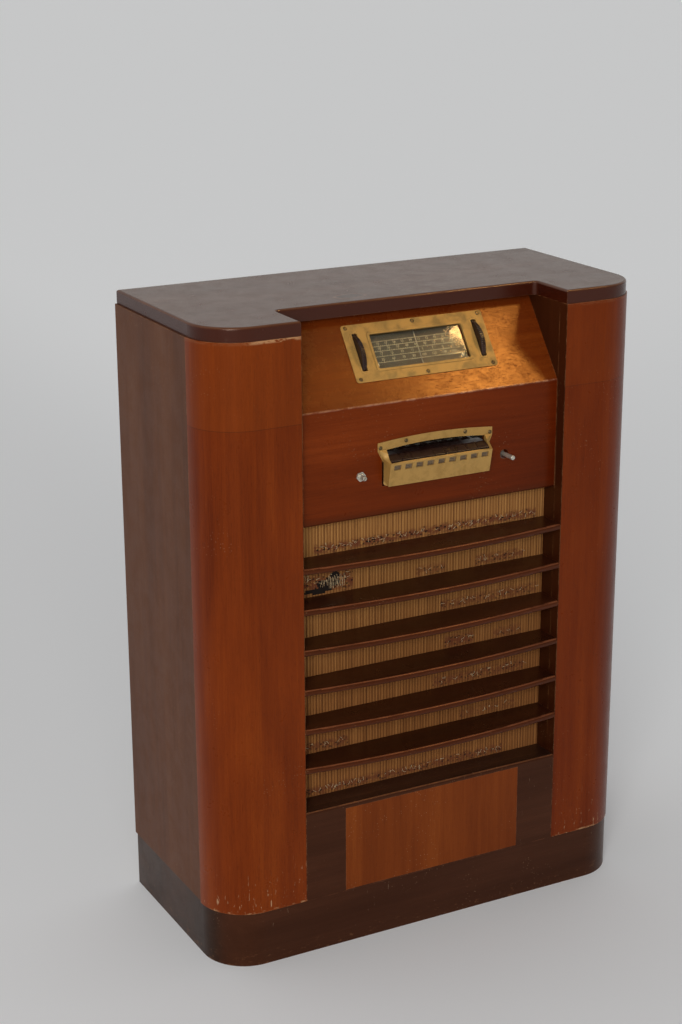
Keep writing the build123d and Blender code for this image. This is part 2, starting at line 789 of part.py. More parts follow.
lamps = []
for x in (-30.0, 30.0):
    with BuildPart() as dial_lamp:
        with BuildSketch(dial_plane.offset(-back_depth - sheet - 0.5)):
            with Locations((x, 100.0)):
                Circle(5.0)
        extrude(amount=-14.0)
        with BuildSketch(dial_plane.offset(-back_depth - sheet - 14.5)):
            with Locations((x, 100.0)):
                Circle(6.2)
        extrude(amount=-12.0)
        with BuildSketch(dial_plane.offset(-back_depth - sheet)):
            with Locations((x, 108.5)):
                Rectangle(8.0, 5.0)
        extrude(amount=-26.5)
        with BuildSketch(dial_plane.offset(-back_depth - sheet - 20.0)):
            with Locations((x, 104.0)):
                Rectangle(8.0, 10.0)
        extrude(amount=-6.5)
    lamps.append(dial_lamp.part)
save(group(lamps), "dial_lamps")


def edge_wheel(side):
    """A ribbed thumbwheel on its axle; the axle runs outboard into its control."""
    mid_x = set_x + side * wheel_offset
    centre = on_dial(0, wheel_up, wheel_depth)[1:]
    with BuildPart() as wheel:
        with BuildSketch(Plane.YZ.offset(mid_x - wheel_width / 2)):
            with Locations(centre):
                Circle(wheel_radius)
        extrude(amount=wheel_width)
        chamfer(wheel.edges().filter_by(GeomType.CIRCLE), 1.0)
        with BuildSketch(Plane.YZ.offset(mid_x - wheel_width / 2)):
            with Locations(centre):
                with PolarLocations(wheel_radius + 0.3, 72):
                    Circle(0.8)
        extrude(amount=wheel_width, mode=Mode.SUBTRACT)
        axle_start = mid_x if side > 0 else mid_x - 24.0
        with BuildSketch(Plane.YZ.offset(axle_start)):
            with Locations(centre):
                Circle(wheel_axle)
        extrude(amount=24.0)
    return wheel.part


def edge_control(side, depth):
    """Body of a thumbwheel's control, with the bracket that hangs it on the dial panel."""
    mid_x = set_x + side * wheel_offset
    near = mid_x + side * 7.0
    centre = on_dial(0, wheel_up, wheel_depth)[1:]
    rear = panel_thickness
    bracket_side = [
        on_dial(0, up, d)[1:] for up, d in ((60.0, rear), (96.0, rear), (96.0, 38.0), (60.0, 38.0))
    ]
    foot_side = [
        on_dial(0, up, d)[1:]
        for up, d in ((60.0, rear), (96.0, rear), (96.0, rear + 1.5), (60.0, rear + 1.5))
    ]
    with BuildPart() as control:
        add(side_profile(bracket_side, sorted((near, near + side * 1.5))))
        add(side_profile(foot_side, sorted((near, near + side * 14.0))))
        with BuildSketch(Plane.YZ.offset(min(near, near + side * (1.5 + depth)))):
            with Locations(centre):
                Circle(9.5)
        extrude(amount=1.5 + depth)
        with BuildSketch(Plane.YZ.offset(mid_x - 40.0)):
            with Locations(centre):
                Circle(wheel_axle + running_fit)
        extrude(amount=80.0, mode=Mode.SUBTRACT)
    return control.part


save(edge_wheel(-1), "tone_wheel")
save(edge_wheel(1), "band_wheel")
save(edge_control(-1, 15.0), "tone_control")
save(edge_control(1, 19.0), "band_switch")

# ============================================================================================
# Tuning keys and their escutcheon
# ============================================================================================
lip_lean = atan2(lip_bottom[0] - lip_top[0], lip_top[1] - lip_bottom[1])
lip_height = hypot(lip_bottom[0] - lip_top[0], lip_top[1] - lip_bottom[1])
lip_plane = Plane(
    origin=(set_x, lip_bottom[0], lip_bottom[1]),
    x_dir=(1, 0, 0),
    z_dir=(0, -cos(lip_lean), -sin(lip_lean)),
)
key_xs = [(i - (key_count - 1) / 2) * key_pitch for i in range(key_count)]
label_up = 28.0
window_width = 11.4
window_height = 8.0
body_rear_y = panel_y - 2.5
body_half = lip_half + 2.0
flare_half = 91.5
flare_z = 723.0
inner_half = key_count * key_pitch / 2 + 0.4
flange_half = 93.0

with BuildPart() as key_escutcheon:
    with BuildSketch(Plane.XZ.offset(-body_rear_y)):
        with BuildLine():
            Polyline(
                (set_x - body_half, 686.0),
                (set_x - body_half, flare_z),
                (set_x - flare_half, 741.0),
                (set_x + flare_half, 741.0),
                (set_x + body_half, flare_z),
                (set_x + body_half, 686.0),
                close=True,
            )
        make_face()
    with BuildSketch(lip_plane):
        with BuildLine():
            Polyline(
                (-lip_half, 0),
                (-lip_half, lip_height * 0.7),
                (-lip_half, lip_height),
                (lip_half, lip_height),
                (lip_half, lip_height * 0.7),
                (lip_half, 0),
                close=True,
            )
        make_face()
    loft(ruled=True)
    lower_front = key_escutcheon.edges().filter_by(Axis.X).group_by(Axis.Z)[0].sort_by(Axis.Y)[0]
    fillet(lower_front, 4.5)
    with BuildSketch(Plane.YZ.offset(set_x - inner_half)):
        with BuildLine():
            Polyline(
                (body_rear_y + 1.0, 690.0),
                (body_rear_y + 1.0, 760.0),
                (lip_top[0] + lip_thickness, 760.0),
                (lip_top[0] + lip_thickness, lip_top[1]),
                (lip_bottom[0] + lip_thickness, 691.0),
                (lip_bottom[0] + lip_thickness, 690.0),
                close=True,
            )
        make_face()
    extrude(amount=2 * inner_half, mode=Mode.SUBTRACT)
    with BuildSketch(Plane.XZ.offset(-panel_y)):
        with BuildLine():
            ThreePointArc((set_x - flange_half, 751.0), (set_x, 756.0), (set_x + flange_half, 751.0))
            Line((set_x + flange_half, 751.0), (set_x + flange_half, 739.0))
            Line((set_x + flange_half, 739.0), (set_x + body_half, flare_z))
            Line((set_x + body_half, flare_z), (set_x + inner_half, flare_z))
            Line((set_x + inner_half, flare_z), (set_x + inner_half, 740.0))
            ThreePointArc((set_x + inner_half, 740.0), (set_x, 745.0), (set_x - inner_half, 740.0))
            Line((set_x - inner_half, 740.0), (set_x - inner_half, flare_z))
            Line((set_x - inner_half, flare_z), (set_x - body_half, flare_z))
            Line((set_x - body_half, flare_z), (set_x - flange_half, 739.0))
            Line((set_x - flange_half, 739.0), (set_x - flange_half, 751.0))
        make_face()
    extrude(amount=1.6)
    with BuildSketch(Plane.XZ.offset(-panel_y)):
        for side in (-1, 1):
            with BuildLine():
                Polyline(
                    (set_x + side * inner_half, flare_z),
                    (set_x + side * body_half, flare_z),
                    (set_x + side * flare_half, 739.0),
                    (set_x + side * inner_half, 740.0),
                    close=True,
                )
            make_face()
    extrude(amount=3.2)
    with BuildSketch(lip_plane):
        with Locations(*[(x, label_up) for x in key_xs]):
            Rectangle(window_width, window_height)
    extrude(amount=6.0, both=True, mode=Mode.SUBTRACT)
    with BuildSketch(Plane.XZ.offset(-panel_y)):
        with Locations(*[(set_x + x, z) for x, z in key_screws]):
            Circle(1.6)
    extrude(amount=6.0, mode=Mode.SUBTRACT)
save(key_escutcheon.part, "key_escutcheon")

with BuildPart() as label_strip:
    with BuildSketch(lip_plane.offset(-lip_thickness - 0.6)):
        with Locations((0, label_up)):
            Rectangle(2 * inner_half - 1.0, 11.0)
    extrude(amount=0.4)
save(label_strip.part, "label_strip")

# Each key: a finger cap behind the label plate and a lever back to the pivot rod.
key_front_y = lip_top[0] + lip_thickness + 1.9
cap_crest_z = 727.0
cap_side = [
    (key_front_y, cap_crest_z),
    (key_front_y + 13.5, 733.0),
    (-117.0, 733.0),
    (-117.0, 721.0),
    (key_front_y + 3.0, 716.5),
]
for i, x in enumerate(key_xs, start=1):
    key_x = set_x + x
    key_half = (key_pitch - key_gap) / 2
    with BuildPart() as key:
        with BuildSketch(Plane.YZ.offset(key_x - key_half)):
            with BuildLine():
                Polyline(*cap_side, close=True)
            make_face()
        extrude(amount=2 * key_half)
        crest = key.edges().filter_by(Axis.X).sort_by_distance((key_x, key_front_y, cap_crest_z))[0]
        fillet(crest, 1.5)
        with BuildSketch(Plane.YZ.offset(key_x - 1.5)):
            with Locations(((-117.0 + key_pivot_y + 4.0) / 2, key_pivot_z)):
                Rectangle(key_pivot_y + 4.0 + 119.0, 8.0)
            with Locations((key_pivot_y, key_pivot_z)):
                Circle(key_pivot_radius + running_fit, mode=Mode.SUBTRACT)
        extrude(amount=3.0)
    save(key.part, f"key_{i}")

with BuildPart() as key_frame:
    frame_half = inner_half + 6.0
    with BuildSketch(Plane.YZ.offset(set_x - frame_half)):
        with BuildLine():
            Polyline(
                (panel_y + panel_thickness, 670.0),
                (panel_y + panel_thickness, 687.0),
                (panel_y + panel_thickness + sheet, 687.0),
                (panel_y + panel_thickness + sheet, 671.2),
                (-84.0, 671.2),
                (-84.0, 670.0),
                close=True,
            )
        make_face()
    extrude(amount=2 * frame_half)
    for x in (set_x - frame_half, set_x + frame_half - sheet):
        with BuildSketch(Plane.YZ.offset(x)):
            with Locations((key_pivot_y - 4.0, (670.0 + 734.0) / 2)):
                Rectangle(20.0, 64.0)
        extrude(amount=sheet)
    with BuildSketch(Plane.YZ.offset(set_x - frame_half)):
        with Locations((key_pivot_y, key_pivot_z)):
            Circle(key_pivot_radius)
    extrude(amount=2 * frame_half)
save(key_frame.part, "key_frame")

# ============================================================================================
# Loudspeaker
# ============================================================================================
speaker_axis = Axis((0, 0, speaker_z), (0, 1, 0))
basket_rear_y = -12.0


def turned(points):
    """A ring turned about the speaker's axis from (y, radius) points."""
    with BuildPart() as piece:
        with BuildSketch(Plane.YZ):
            with BuildLine():
                Polyline(*[(y, speaker_z + radius) for y, radius in points], close=True)
            make_face()
        revolve(axis=speaker_axis)
    return piece.part


with BuildPart() as speaker_basket:
    add(turned([
        (baffle_rear_y, 128.0),
        (baffle_rear_y, 150.0),
        (baffle_rear_y + 1.5, 150.0),
        (baffle_rear_y + 1.5, 137.0),
        (basket_rear_y, 62.0),
        (basket_rear_y, 20.0),
        (basket_rear_y - 1.5, 20.0),
        (basket_rear_y - 1.5, 61.0),
        (baffle_rear_y + 0.5, 135.0),
        (baffle_rear_y + 0.5, 128.0),
    ]))
    with BuildSketch(Plane.XZ.offset(-basket_rear_y + 8.0)):
        with Locations((0, speaker_z)):
            with PolarLocations(99.0, 6):
                RectangleRounded(46.0, 62.0, 8.0)
    extrude(amount=56.0, mode=Mode.SUBTRACT)
    with BuildSketch(Plane.XZ.offset(-baffle_rear_y)):
        with Locations((0, speaker_z)):
            with PolarLocations(speaker_bolt_circle, 4, start_angle=45):
                Circle(2.7)
    extrude(amount=-3.0, mode=Mode.SUBTRACT)
save(speaker_basket.part, "speaker_basket")

speaker_cone = turned([
    (baffle_rear_y - 1.2, 131.0),
    (baffle_rear_y, 131.0),
    (baffle_rear_y, 122.0),
    (basket_rear_y - 26.0, 30.0),
    (basket_rear_y - 26.0, 24.0),
    (basket_rear_y - 2.0, 24.0),
    (basket_rear_y - 2.0, 22.0),
    (basket_rear_y - 27.2, 22.0),
    (basket_rear_y - 27.2, 29.3),
    (baffle_rear_y - 1.2, 121.3),
])
save(speaker_cone, "speaker_cone")

field_magnet = turned([
    (basket_rear_y, 0.0),
    (basket_rear_y, 48.0),
    (basket_rear_y + 62.0, 48.0),
    (basket_rear_y + 66.0, 44.0),
    (basket_rear_y + 66.0, 0.0),
])
save(field_magnet, "field_magnet")

with BuildPart() as output_transformer:
    with BuildSketch(Plane.XZ.offset(-baffle_rear_y)):
        with Locations((182, 590)):
            Rectangle(20, 62)
    extrude(amount=-38.0)
    with BuildSketch(Plane.XZ.offset(-baffle_rear_y)):
        with Locations((182, 590)):
            RectangleRounded(40, 34, 5)
    extrude(amount=-34.0)
save(output_transformer.part, "output_transformer")

# ============================================================================================
# Fasteners
# ============================================================================================
bolts = []
for x, y in tab_points:
    with BuildPart() as chassis_bolt:
        with BuildSketch(Plane.XY.offset(shelf_top + sheet)):
            with Locations((x, y)):
                RegularPolygon(6.0, 6)
        extrude(amount=4.0)
        with BuildSketch(Plane.XY.offset(shelf_bottom - 1.0)):
            with Locations((x, y)):
                Circle(3.0)
        extrude(amount=shelf_thickness + sheet + 2.0)
    bolts.append(chassis_bolt.part)
for corner in range(4):
    angle = radians(45 + 90 * corner)
    place = (speaker_bolt_circle * cos(angle), speaker_z + speaker_bolt_circle * sin(angle))
    with BuildPart() as speaker_bolt:
        with BuildSketch(Plane.XZ.offset(-baffle_rear_y - 1.5)):
            with Locations(place):
                RegularPolygon(4.3, 6)
        extrude(amount=-4.0)
        with BuildSketch(Plane.XZ.offset(-baffle_rear_y - 2.0)):
            with Locations(place):
                Circle(2.5)
        extrude(amount=baffle_thickness + 1.8)
    bolts.append(speaker_bolt.part)
bolts.append(panel_bushing.part)
save(group(bolts), "fixing_bolts")


def screw(plane, point, grip):
    """A round-headed screw: its head on the plane, its shank `grip` deep behind it."""
    with BuildPart() as piece:
        with BuildSketch(plane):
            with Locations(point):
                Circle(2.9)
        extrude(amount=1.5)
        chamfer(piece.edges().sort_by(Axis(plane.origin, plane.z_dir))[-1], 0.9)
        with BuildSketch(plane):
            with Locations(point):
                Circle(1.3)
        extrude(amount=-grip)
    return piece.part


key_flange_plane = Plane.XZ.offset(-panel_y + 1.6)
screws = [screw(dial_plane.offset(plate_thickness), point, 9.0) for point in dial_screws]
screws += [screw(key_flange_plane, (set_x + x, z), 9.0) for x, z in key_screws]
screws += [screw(dial_plane.offset(-9.0), point, 4.0) for point in scale_screws]
save(group(screws), "panel_screws")
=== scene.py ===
import bmesh
import bpy
import json
import math
import random
from mathutils import Matrix, Vector, noise


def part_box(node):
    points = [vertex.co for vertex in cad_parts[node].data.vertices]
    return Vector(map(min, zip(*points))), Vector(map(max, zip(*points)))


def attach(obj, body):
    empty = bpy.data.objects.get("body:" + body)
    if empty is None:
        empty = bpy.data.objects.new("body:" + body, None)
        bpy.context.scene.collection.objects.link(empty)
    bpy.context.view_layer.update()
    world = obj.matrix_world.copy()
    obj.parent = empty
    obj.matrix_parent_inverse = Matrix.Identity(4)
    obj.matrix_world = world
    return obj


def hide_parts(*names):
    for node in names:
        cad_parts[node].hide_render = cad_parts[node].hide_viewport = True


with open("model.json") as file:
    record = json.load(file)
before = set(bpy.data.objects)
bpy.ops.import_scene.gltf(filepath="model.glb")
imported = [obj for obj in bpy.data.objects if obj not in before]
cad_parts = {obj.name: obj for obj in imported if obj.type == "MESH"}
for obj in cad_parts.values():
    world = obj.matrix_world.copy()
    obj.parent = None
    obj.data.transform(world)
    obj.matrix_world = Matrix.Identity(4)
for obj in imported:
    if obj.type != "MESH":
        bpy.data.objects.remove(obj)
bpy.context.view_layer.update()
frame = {"nodes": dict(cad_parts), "record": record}

# Metres throughout, in the CAD frame: +Z up, +Y to the rear of the cabinet, +X to the right.
MM = 0.001
nodes = frame["nodes"]

# ---- Places taken from the frame -----------------------------------------------------------
cloth_low, cloth_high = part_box("grille_cloth")
louvre_low, louvre_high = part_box("louvres")
panel_low, panel_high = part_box("control_panel")
plate_low, plate_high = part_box("dial_escutcheon")
post_low, post_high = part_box("left_corner_post")
apron_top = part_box("apron")[1].z

bay_half = cloth_high.x
cad_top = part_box("top_board")[1].z
louvre_count = 6
louvre_thickness = 10 * MM
louvre_pitch = (louvre_high.z - louvre_low.z - louvre_thickness) / (louvre_count - 1)
set_x = (plate_low.x + plate_high.x) / 2
dial_lean = math.radians(36.5)

# The dial's own directions: across, up the slope, and out of the face.
dial_across = Vector((1, 0, 0))
dial_up = Vector((0, math.sin(dial_lean), math.cos(dial_lean)))
dial_out = Vector((0, -math.cos(dial_lean), math.sin(dial_lean)))
dial_origin = Vector((set_x, panel_low.y, panel_high.z))


# ============================================================================================
# Camera
# ============================================================================================
def make_camera():
    """A portrait view from the left front, a little above the cabinet."""
    data = bpy.data.cameras.new("camera")
    data.lens = 69.4
    data.sensor_width = 36.0
    camera = bpy.data.objects.new("camera", data)
    bpy.context.scene.collection.objects.link(camera)
    bpy.context.scene.camera = camera
    turn_right = math.radians(27.94)
    look_down = math.radians(17.80)
    roll = math.radians(-0.23)
    camera.matrix_world = (
        Matrix.Translation((-1.3615, -2.4294, 1.4954))
        @ Matrix.Rotation(-turn_right, 4, "Z")
        @ Matrix.Rotation(math.pi / 2 - look_down, 4, "X")
        @ Matrix.Rotation(roll, 4, "Z")
    )


make_camera()


# ============================================================================================
# Shader wiring
# ============================================================================================
class Shader:
    """One material being wired up. Coordinates are the frame's own, so patterns stay to scale."""

    def __init__(self, name, **surface):
        self.material = bpy.data.materials.new(name)
        self.material.use_nodes = True
        self.tree = self.material.node_tree
        self.surface = self.tree.nodes["Principled BSDF"]
        self.places = self.tree.nodes.new("ShaderNodeTexCoord").outputs["Object"]
        self.split = self.tree.nodes.new("ShaderNodeSeparateXYZ")
        self.tree.links.new(self.places, self.split.inputs[0])
        for words, value in surface.items():
            self.feed(self.surface.inputs[words.replace("_", " ").title().replace("Ior", "IOR")], value)

    def feed(self, socket, value):
        """Link a socket, or set its plain value."""
        if isinstance(value, bpy.types.NodeSocket):
            self.tree.links.new(value, socket)
        elif isinstance(value, tuple) and len(value) == 3 and socket.type == "RGBA":
            socket.default_value = (*value, 1.0)
        else:
            socket.default_value = value

    def axis(self, letter):
        return self.split.outputs[letter.upper()]

    def facing(self, letter):
        """How far the surface faces along an axis, from -1 to 1."""
        split = self.tree.nodes.new("ShaderNodeSeparateXYZ")
        self.tree.links.new(self.tree.nodes.new("ShaderNodeTexCoord").outputs["Normal"], split.inputs[0])
        return split.outputs[letter.upper()]

    def math(self, operation, *values):
        node = self.tree.nodes.new("ShaderNodeMath")
        node.operation = operation
        for socket, value in zip(node.inputs, values):
            self.feed(socket, value)
        return node.outputs[0]

    def scaled(self, scale, shift=(0.0, 0.0, 0.0)):
        """The place coordinates, scaled per axis, for a texture."""
        node = self.tree.nodes.new("ShaderNodeMapping")
        self.feed(node.inputs["Vector"], self.places)
        node.inputs["Scale"].default_value = scale
        node.inputs["Location"].default_value = shift
        return node.outputs[0]

    def noise(self, scale, detail=3.0, rough=0.55, distortion=0.0, shift=(0.0, 0.0, 0.0)):
        """Soft noise from 0 to 1; `scale` is how many features there are per metre, per axis."""
        node = self.tree.nodes.new("ShaderNodeTexNoise")
        node.inputs["Scale"].default_value = 1.0
        self.feed(node.inputs["Vector"], self.scaled(scale, shift))
        node.inputs["Detail"].default_value = detail
        node.inputs["Roughness"].default_value = rough
        node.inputs["Distortion"].default_value = distortion
        return node.outputs["Fac"]

    def cells(self, scale):
        """Distance to the nearest of many scattered points."""
        node = self.tree.nodes.new("ShaderNodeTexVoronoi")
        node.inputs["Scale"].default_value = 1.0
        self.feed(node.inputs["Vector"], self.scaled(scale))
        return node.outputs["Distance"]

    def spread(self, value, low, high, to_low=0.0, to_high=1.0):
        """Maps low..high onto to_low..to_high, clamped, with a smooth step."""
        node = self.tree.nodes.new("ShaderNodeMapRange")
        node.interpolation_type = "SMOOTHSTEP"
        for socket, number in zip(node.inputs, (value, low, high, to_low, to_high)):
            self.feed(socket, number)
        return node.outputs[0]

    def band(self, letter, low, high, soft):
        """1 between two places along an axis, fading over `soft` at each end."""
        rise = self.spread(self.axis(letter), low - soft, low + soft)
        fall = self.spread(self.axis(letter), high - soft, high + soft, 1.0, 0.0)
        return self.math("MULTIPLY", rise, fall)

    def ramp(self, factor, *stops):
        """Colours along a factor; each stop is (place, colour)."""
        node = self.tree.nodes.new("ShaderNodeValToRGB")
        while len(node.color_ramp.elements) < len(stops):
            node.color_ramp.elements.new(0.5)
        for element, (place, colour) in zip(node.color_ramp.elements, stops):
            element.position = place
            element.color = (*colour, 1.0)
        self.feed(node.inputs[0], factor)
        return node.outputs[0]

    def mix(self, factor, first, second, kind="MIX"):
        node = self.tree.nodes.new("ShaderNodeMix")
        node.data_type = "RGBA"
        node.blend_type = kind
        self.feed(node.inputs["Factor"], factor)
        self.feed(node.inputs[6], first)
        self.feed(node.inputs[7], second)
        return node.outputs[2]

    def edges(self, radius):
        """1 along outside and inside edges of the mesh, within `radius` of them."""
        bevel = self.tree.nodes.new("ShaderNodeBevel")
        bevel.samples = 4
        bevel.inputs["Radius"].default_value = radius
        true_normal = self.tree.nodes.new("ShaderNodeNewGeometry").outputs["Normal"]
        dot = self.tree.nodes.new("ShaderNodeVectorMath")
        dot.operation = "DOT_PRODUCT"
        self.feed(dot.inputs[0], bevel.outputs[0])
        self.feed(dot.inputs[1], true_normal)
        return self.spread(dot.outputs["Value"], 0.995, 0.80)

    def bump(self, height, depth, strength=1.0):
        """Raises the surface by `height` times `depth` metres; several calls add up."""
        node = self.tree.nodes.new("ShaderNodeBump")
        node.inputs["Strength"].default_value = strength
        node.inputs["Distance"].default_value = depth
        self.feed(node.inputs["Height"], height)
        normal = self.surface.inputs["Normal"]
        if normal.is_linked:
            self.feed(node.inputs["Normal"], normal.links[0].from_socket)
        self.feed(normal, node.outputs[0])

    def paint(self, colour, rough=None):
        self.feed(self.surface.inputs["Base Color"], colour)
        if rough is not None:
            self.feed(self.surface.inputs["Roughness"], rough)
        return self.material


def along_grain(grain, along, across):
    """Per-axis noise scale with the fibres running along one axis."""
    return tuple(along if letter == grain else across for letter in "xyz")


# ============================================================================================
# Wood
# ============================================================================================
def wood(name, dark, mid, light, grain="z", gloss=0.3, specular=0.25, varnish=(1.0, 0.55, 0.28), pores=0.45,
         worn=(0.42, 0.19, 0.08), edge=1.5 * MM, wear=0.6, nose_painted_light=0.0, specks=0.5, flatness=0.2, shift=0.0,
         more=None):
    """Varnished veneer: broad figure, narrow bands, fine fibres and open pores along the grain, and painted
    light on the noses.
    """
    s = Shader(name, specular_ior_level=specular, specular_tint=varnish)
    place = (shift, shift * 0.7, shift * 1.3)
    figure = s.noise(along_grain(grain, 1.6, 11.0), 3.0, 0.5, 0.9, place)
    bands = s.noise(along_grain(grain, 2.5, 95.0), 3.0, 0.6, 0.4, place)
    fibres = s.noise(along_grain(grain, 22.0, 900.0), 2.0, 0.6, 0.0, place)
    clouds = s.noise((6.0, 6.0, 6.0), 2.0, 0.5, 0.3, place)
    tone = s.math("MULTIPLY_ADD", figure, 0.46, s.math("MULTIPLY", bands, 0.22))
    tone = s.math("MULTIPLY_ADD", fibres, 0.16, tone)
    tone = s.math("MULTIPLY_ADD", clouds, 0.10, tone)
    tone = s.math("ADD", tone, 0.03)
    colour = s.ramp(tone, (0.36, dark), (0.50, mid), (0.64, light))
    pore = s.spread(s.noise(along_grain(grain, 90.0, 2600.0), 1.0, 0.5, 0.0, place), 0.60, 0.72)
    colour = s.mix(s.math("MULTIPLY", pore, pores), colour, tuple(c * 0.35 for c in dark))
    if more:
        colour = more(s, colour)
    scuff_zone = s.spread(s.noise((9.0, 9.0, 9.0), 2.0, 0.6, 0.0, (3.1, 1.7, shift)), 0.52, 0.66)
    speck = s.spread(s.cells((210.0, 210.0, 210.0)), 0.16, 0.08)
    speck = s.math("MULTIPLY", s.math("MULTIPLY", speck, scuff_zone), specks)
    colour = s.mix(speck, colour, (0.42, 0.27, 0.15))
    rubbed = s.math("MULTIPLY", s.edges(edge), s.spread(s.noise((55.0, 55.0, 55.0), 4.0, 0.7), 0.40, 0.60))
    rubbed = s.math("MULTIPLY", rubbed, wear)
    colour = s.mix(rubbed, colour, worn)
    if nose_painted_light:
        # Painted light: front faces tinted lighter red than the rest, the fronts lit and the tops in shade.
        front = s.spread(s.facing("y"), -0.35, -0.70)
        colour = s.mix(s.math("MULTIPLY", front, nose_painted_light * 0.6), colour, (0.110, 0.022, 0.007))
        # Painted highlight: a lighter crest where the rounded nose faces up and forward, broken up like wear.
        painted_crest_highlight = s.math("MULTIPLY", s.spread(s.facing("z"), 0.50, 0.66), s.spread(s.facing("z"), 0.93, 0.84))
        painted_crest_highlight = s.math("MULTIPLY", painted_crest_highlight, s.spread(s.facing("y"), -0.15, -0.40))
        broken = s.spread(s.noise((30.0, 30.0, 30.0), 4.0, 0.65, 0.0, place), 0.30, 0.55, 0.35, 1.0)
        colour = s.mix(s.math("MULTIPLY", s.math("MULTIPLY", painted_crest_highlight, broken), nose_painted_light), colour, worn)
    haze = s.noise((28.0, 28.0, 28.0), 4.0, 0.65, 0.2, place)
    rough = s.spread(haze, 0.3, 0.75, gloss - 0.03, gloss + 0.06)
    rough = s.math("MULTIPLY_ADD", rubbed, 0.25, rough)
    s.bump(s.math("MULTIPLY_ADD", pore, -1.0, s.math("MULTIPLY", fibres, 0.5)), 0.05 * MM, 0.6)
    s.bump(s.noise((9.0, 9.0, 9.0), 1.0, 0.4, 0.0, place), flatness * MM, 0.2)
    return s.paint(colour, rough)


RED = dict(dark=(0.110, 0.014, 0.002), mid=(0.178, 0.027, 0.003), light=(0.250, 0.046, 0.005))
DEEP_RED = dict(dark=(0.085, 0.010, 0.001), mid=(0.142, 0.019, 0.002), light=(0.205, 0.032, 0.004))


def post_details(s, colour):
    """The veneer joint below the top, the chips along the top edge, the scrapes near the plinth, and painted
    shade on the right-hand post.
    """
    seam_drop = 7 * MM
    seam_z = panel_high.z - seam_drop
    above = s.spread(s.axis("z"), seam_z - 0.6 * MM, seam_z + 0.6 * MM)
    colour = s.mix(s.math("MULTIPLY", above, 0.10), colour, (0.36, 0.085, 0.010))
    # Painted shade: the veneer right of the middle is multiplied darker, as if less lit.
    right_side_painted_lighting = s.spread(s.axis("x"), 0.0, 0.1)
    colour = s.mix(right_side_painted_lighting, colour, s.mix(1.0, colour, (0.78, 0.66, 0.58), "MULTIPLY"))
    line = s.band("z", seam_z - 0.8 * MM, seam_z + 0.2 * MM, 0.4 * MM)
    colour = s.mix(s.math("MULTIPLY", line, 0.5), colour, (0.05, 0.012, 0.004))
    ragged = s.noise((70.0, 70.0, 240.0), 4.0, 0.7)
    top = s.band("z", post_high.z - 4.0 * MM, post_high.z + MM, 1.5 * MM)
    by_notch = s.band("x", -bay_half - 75 * MM, -bay_half, 12 * MM)
    chip = s.math("MULTIPLY", top, s.spread(ragged, 0.42, 0.52))
    chip = s.math("MULTIPLY", chip, s.math("MULTIPLY_ADD", by_notch, 0.75, 0.08))
    colour = s.mix(chip, colour, (0.50, 0.27, 0.13))
    sides = s.math("ABSOLUTE", s.axis("x"))
    inner_face = s.spread(sides, bay_half + 0.4 * MM, bay_half + 1.2 * MM, 1.0, 0.0)
    colour = s.mix(s.math("MULTIPLY", inner_face, 0.92), colour, (0.035, 0.009, 0.003))
    foot = s.spread(s.axis("z"), post_low.z + 90 * MM, post_low.z, 0.0, 1.0)
    stroke = s.spread(s.noise((300.0, 300.0, 60.0), 3.0, 0.65, 0.6), 0.64, 0.69)
    colour = s.mix(s.math("MULTIPLY", s.math("MULTIPLY", stroke, foot), 0.75), colour, (0.50, 0.32, 0.18))
    boundary = s.band("z", post_low.z - MM, post_low.z + 2.5 * MM, 1.2 * MM)
    chip = s.math("MULTIPLY", boundary, s.spread(ragged, 0.52, 0.60))
    return s.mix(s.math("MULTIPLY", chip, 0.8), colour, (0.42, 0.24, 0.12))


def rubbed_break_and_painted_highlight(s, colour):
    """The rubbed line where the control panel meets the dial panel: wear, and a painted highlight along the
    edge, stronger to the right.
    """
    z = panel_high.z
    # Lighter line along the break: wear, and a painted highlight along the edge.
    line = s.band("z", z - 1.6 * MM, z + 1.0 * MM, 0.6 * MM)
    broken = s.spread(s.noise((70.0, 70.0, 70.0), 4.0, 0.75), 0.38, 0.62, 0.12, 1.0)
    broken = s.math("MULTIPLY", broken, s.spread(s.axis("x"), -0.20, 0.15, 0.45, 0.95))
    return s.mix(s.math("MULTIPLY", line, broken), colour, (0.46, 0.24, 0.16))


def control_panel_details(s, colour):
    """The rubbed top edge with its painted highlight, painted shade towards the right, and painted shade
    along the bottom edge.
    """
    colour = rubbed_break_and_painted_highlight(s, colour)
    # Painted shade: darker towards the right.
    right_side_painted_lighting = s.spread(s.axis("x"), -0.10, 0.20)
    colour = s.mix(right_side_painted_lighting, colour, s.mix(1.0, colour, (0.78, 0.66, 0.58), "MULTIPLY"))
    # Painted shade: darker along the bottom edge.
    shade = s.spread(s.axis("z"), panel_low.z, panel_low.z + 14 * MM, 0.55, 0.0)
    return s.mix(shade, colour, (0.05, 0.010, 0.003))


def plinth_scrapes(s, colour):
    """Knocks and scrapes round the foot."""
    low = s.spread(s.axis("z"), 30 * MM, 0.0)
    ragged = s.spread(s.noise((60.0, 60.0, 160.0), 4.0, 0.75), 0.58, 0.64)
    colour = s.mix(s.math("MULTIPLY", s.math("MULTIPLY", low, ragged), 0.55), colour, (0.20, 0.09, 0.04))
    stroke = s.spread(s.noise((300.0, 300.0, 60.0), 3.0, 0.65, 0.8, (0.4, 0, 0)), 0.70, 0.74)
    return s.mix(s.math("MULTIPLY", stroke, 0.5), colour, (0.36, 0.25, 0.16))


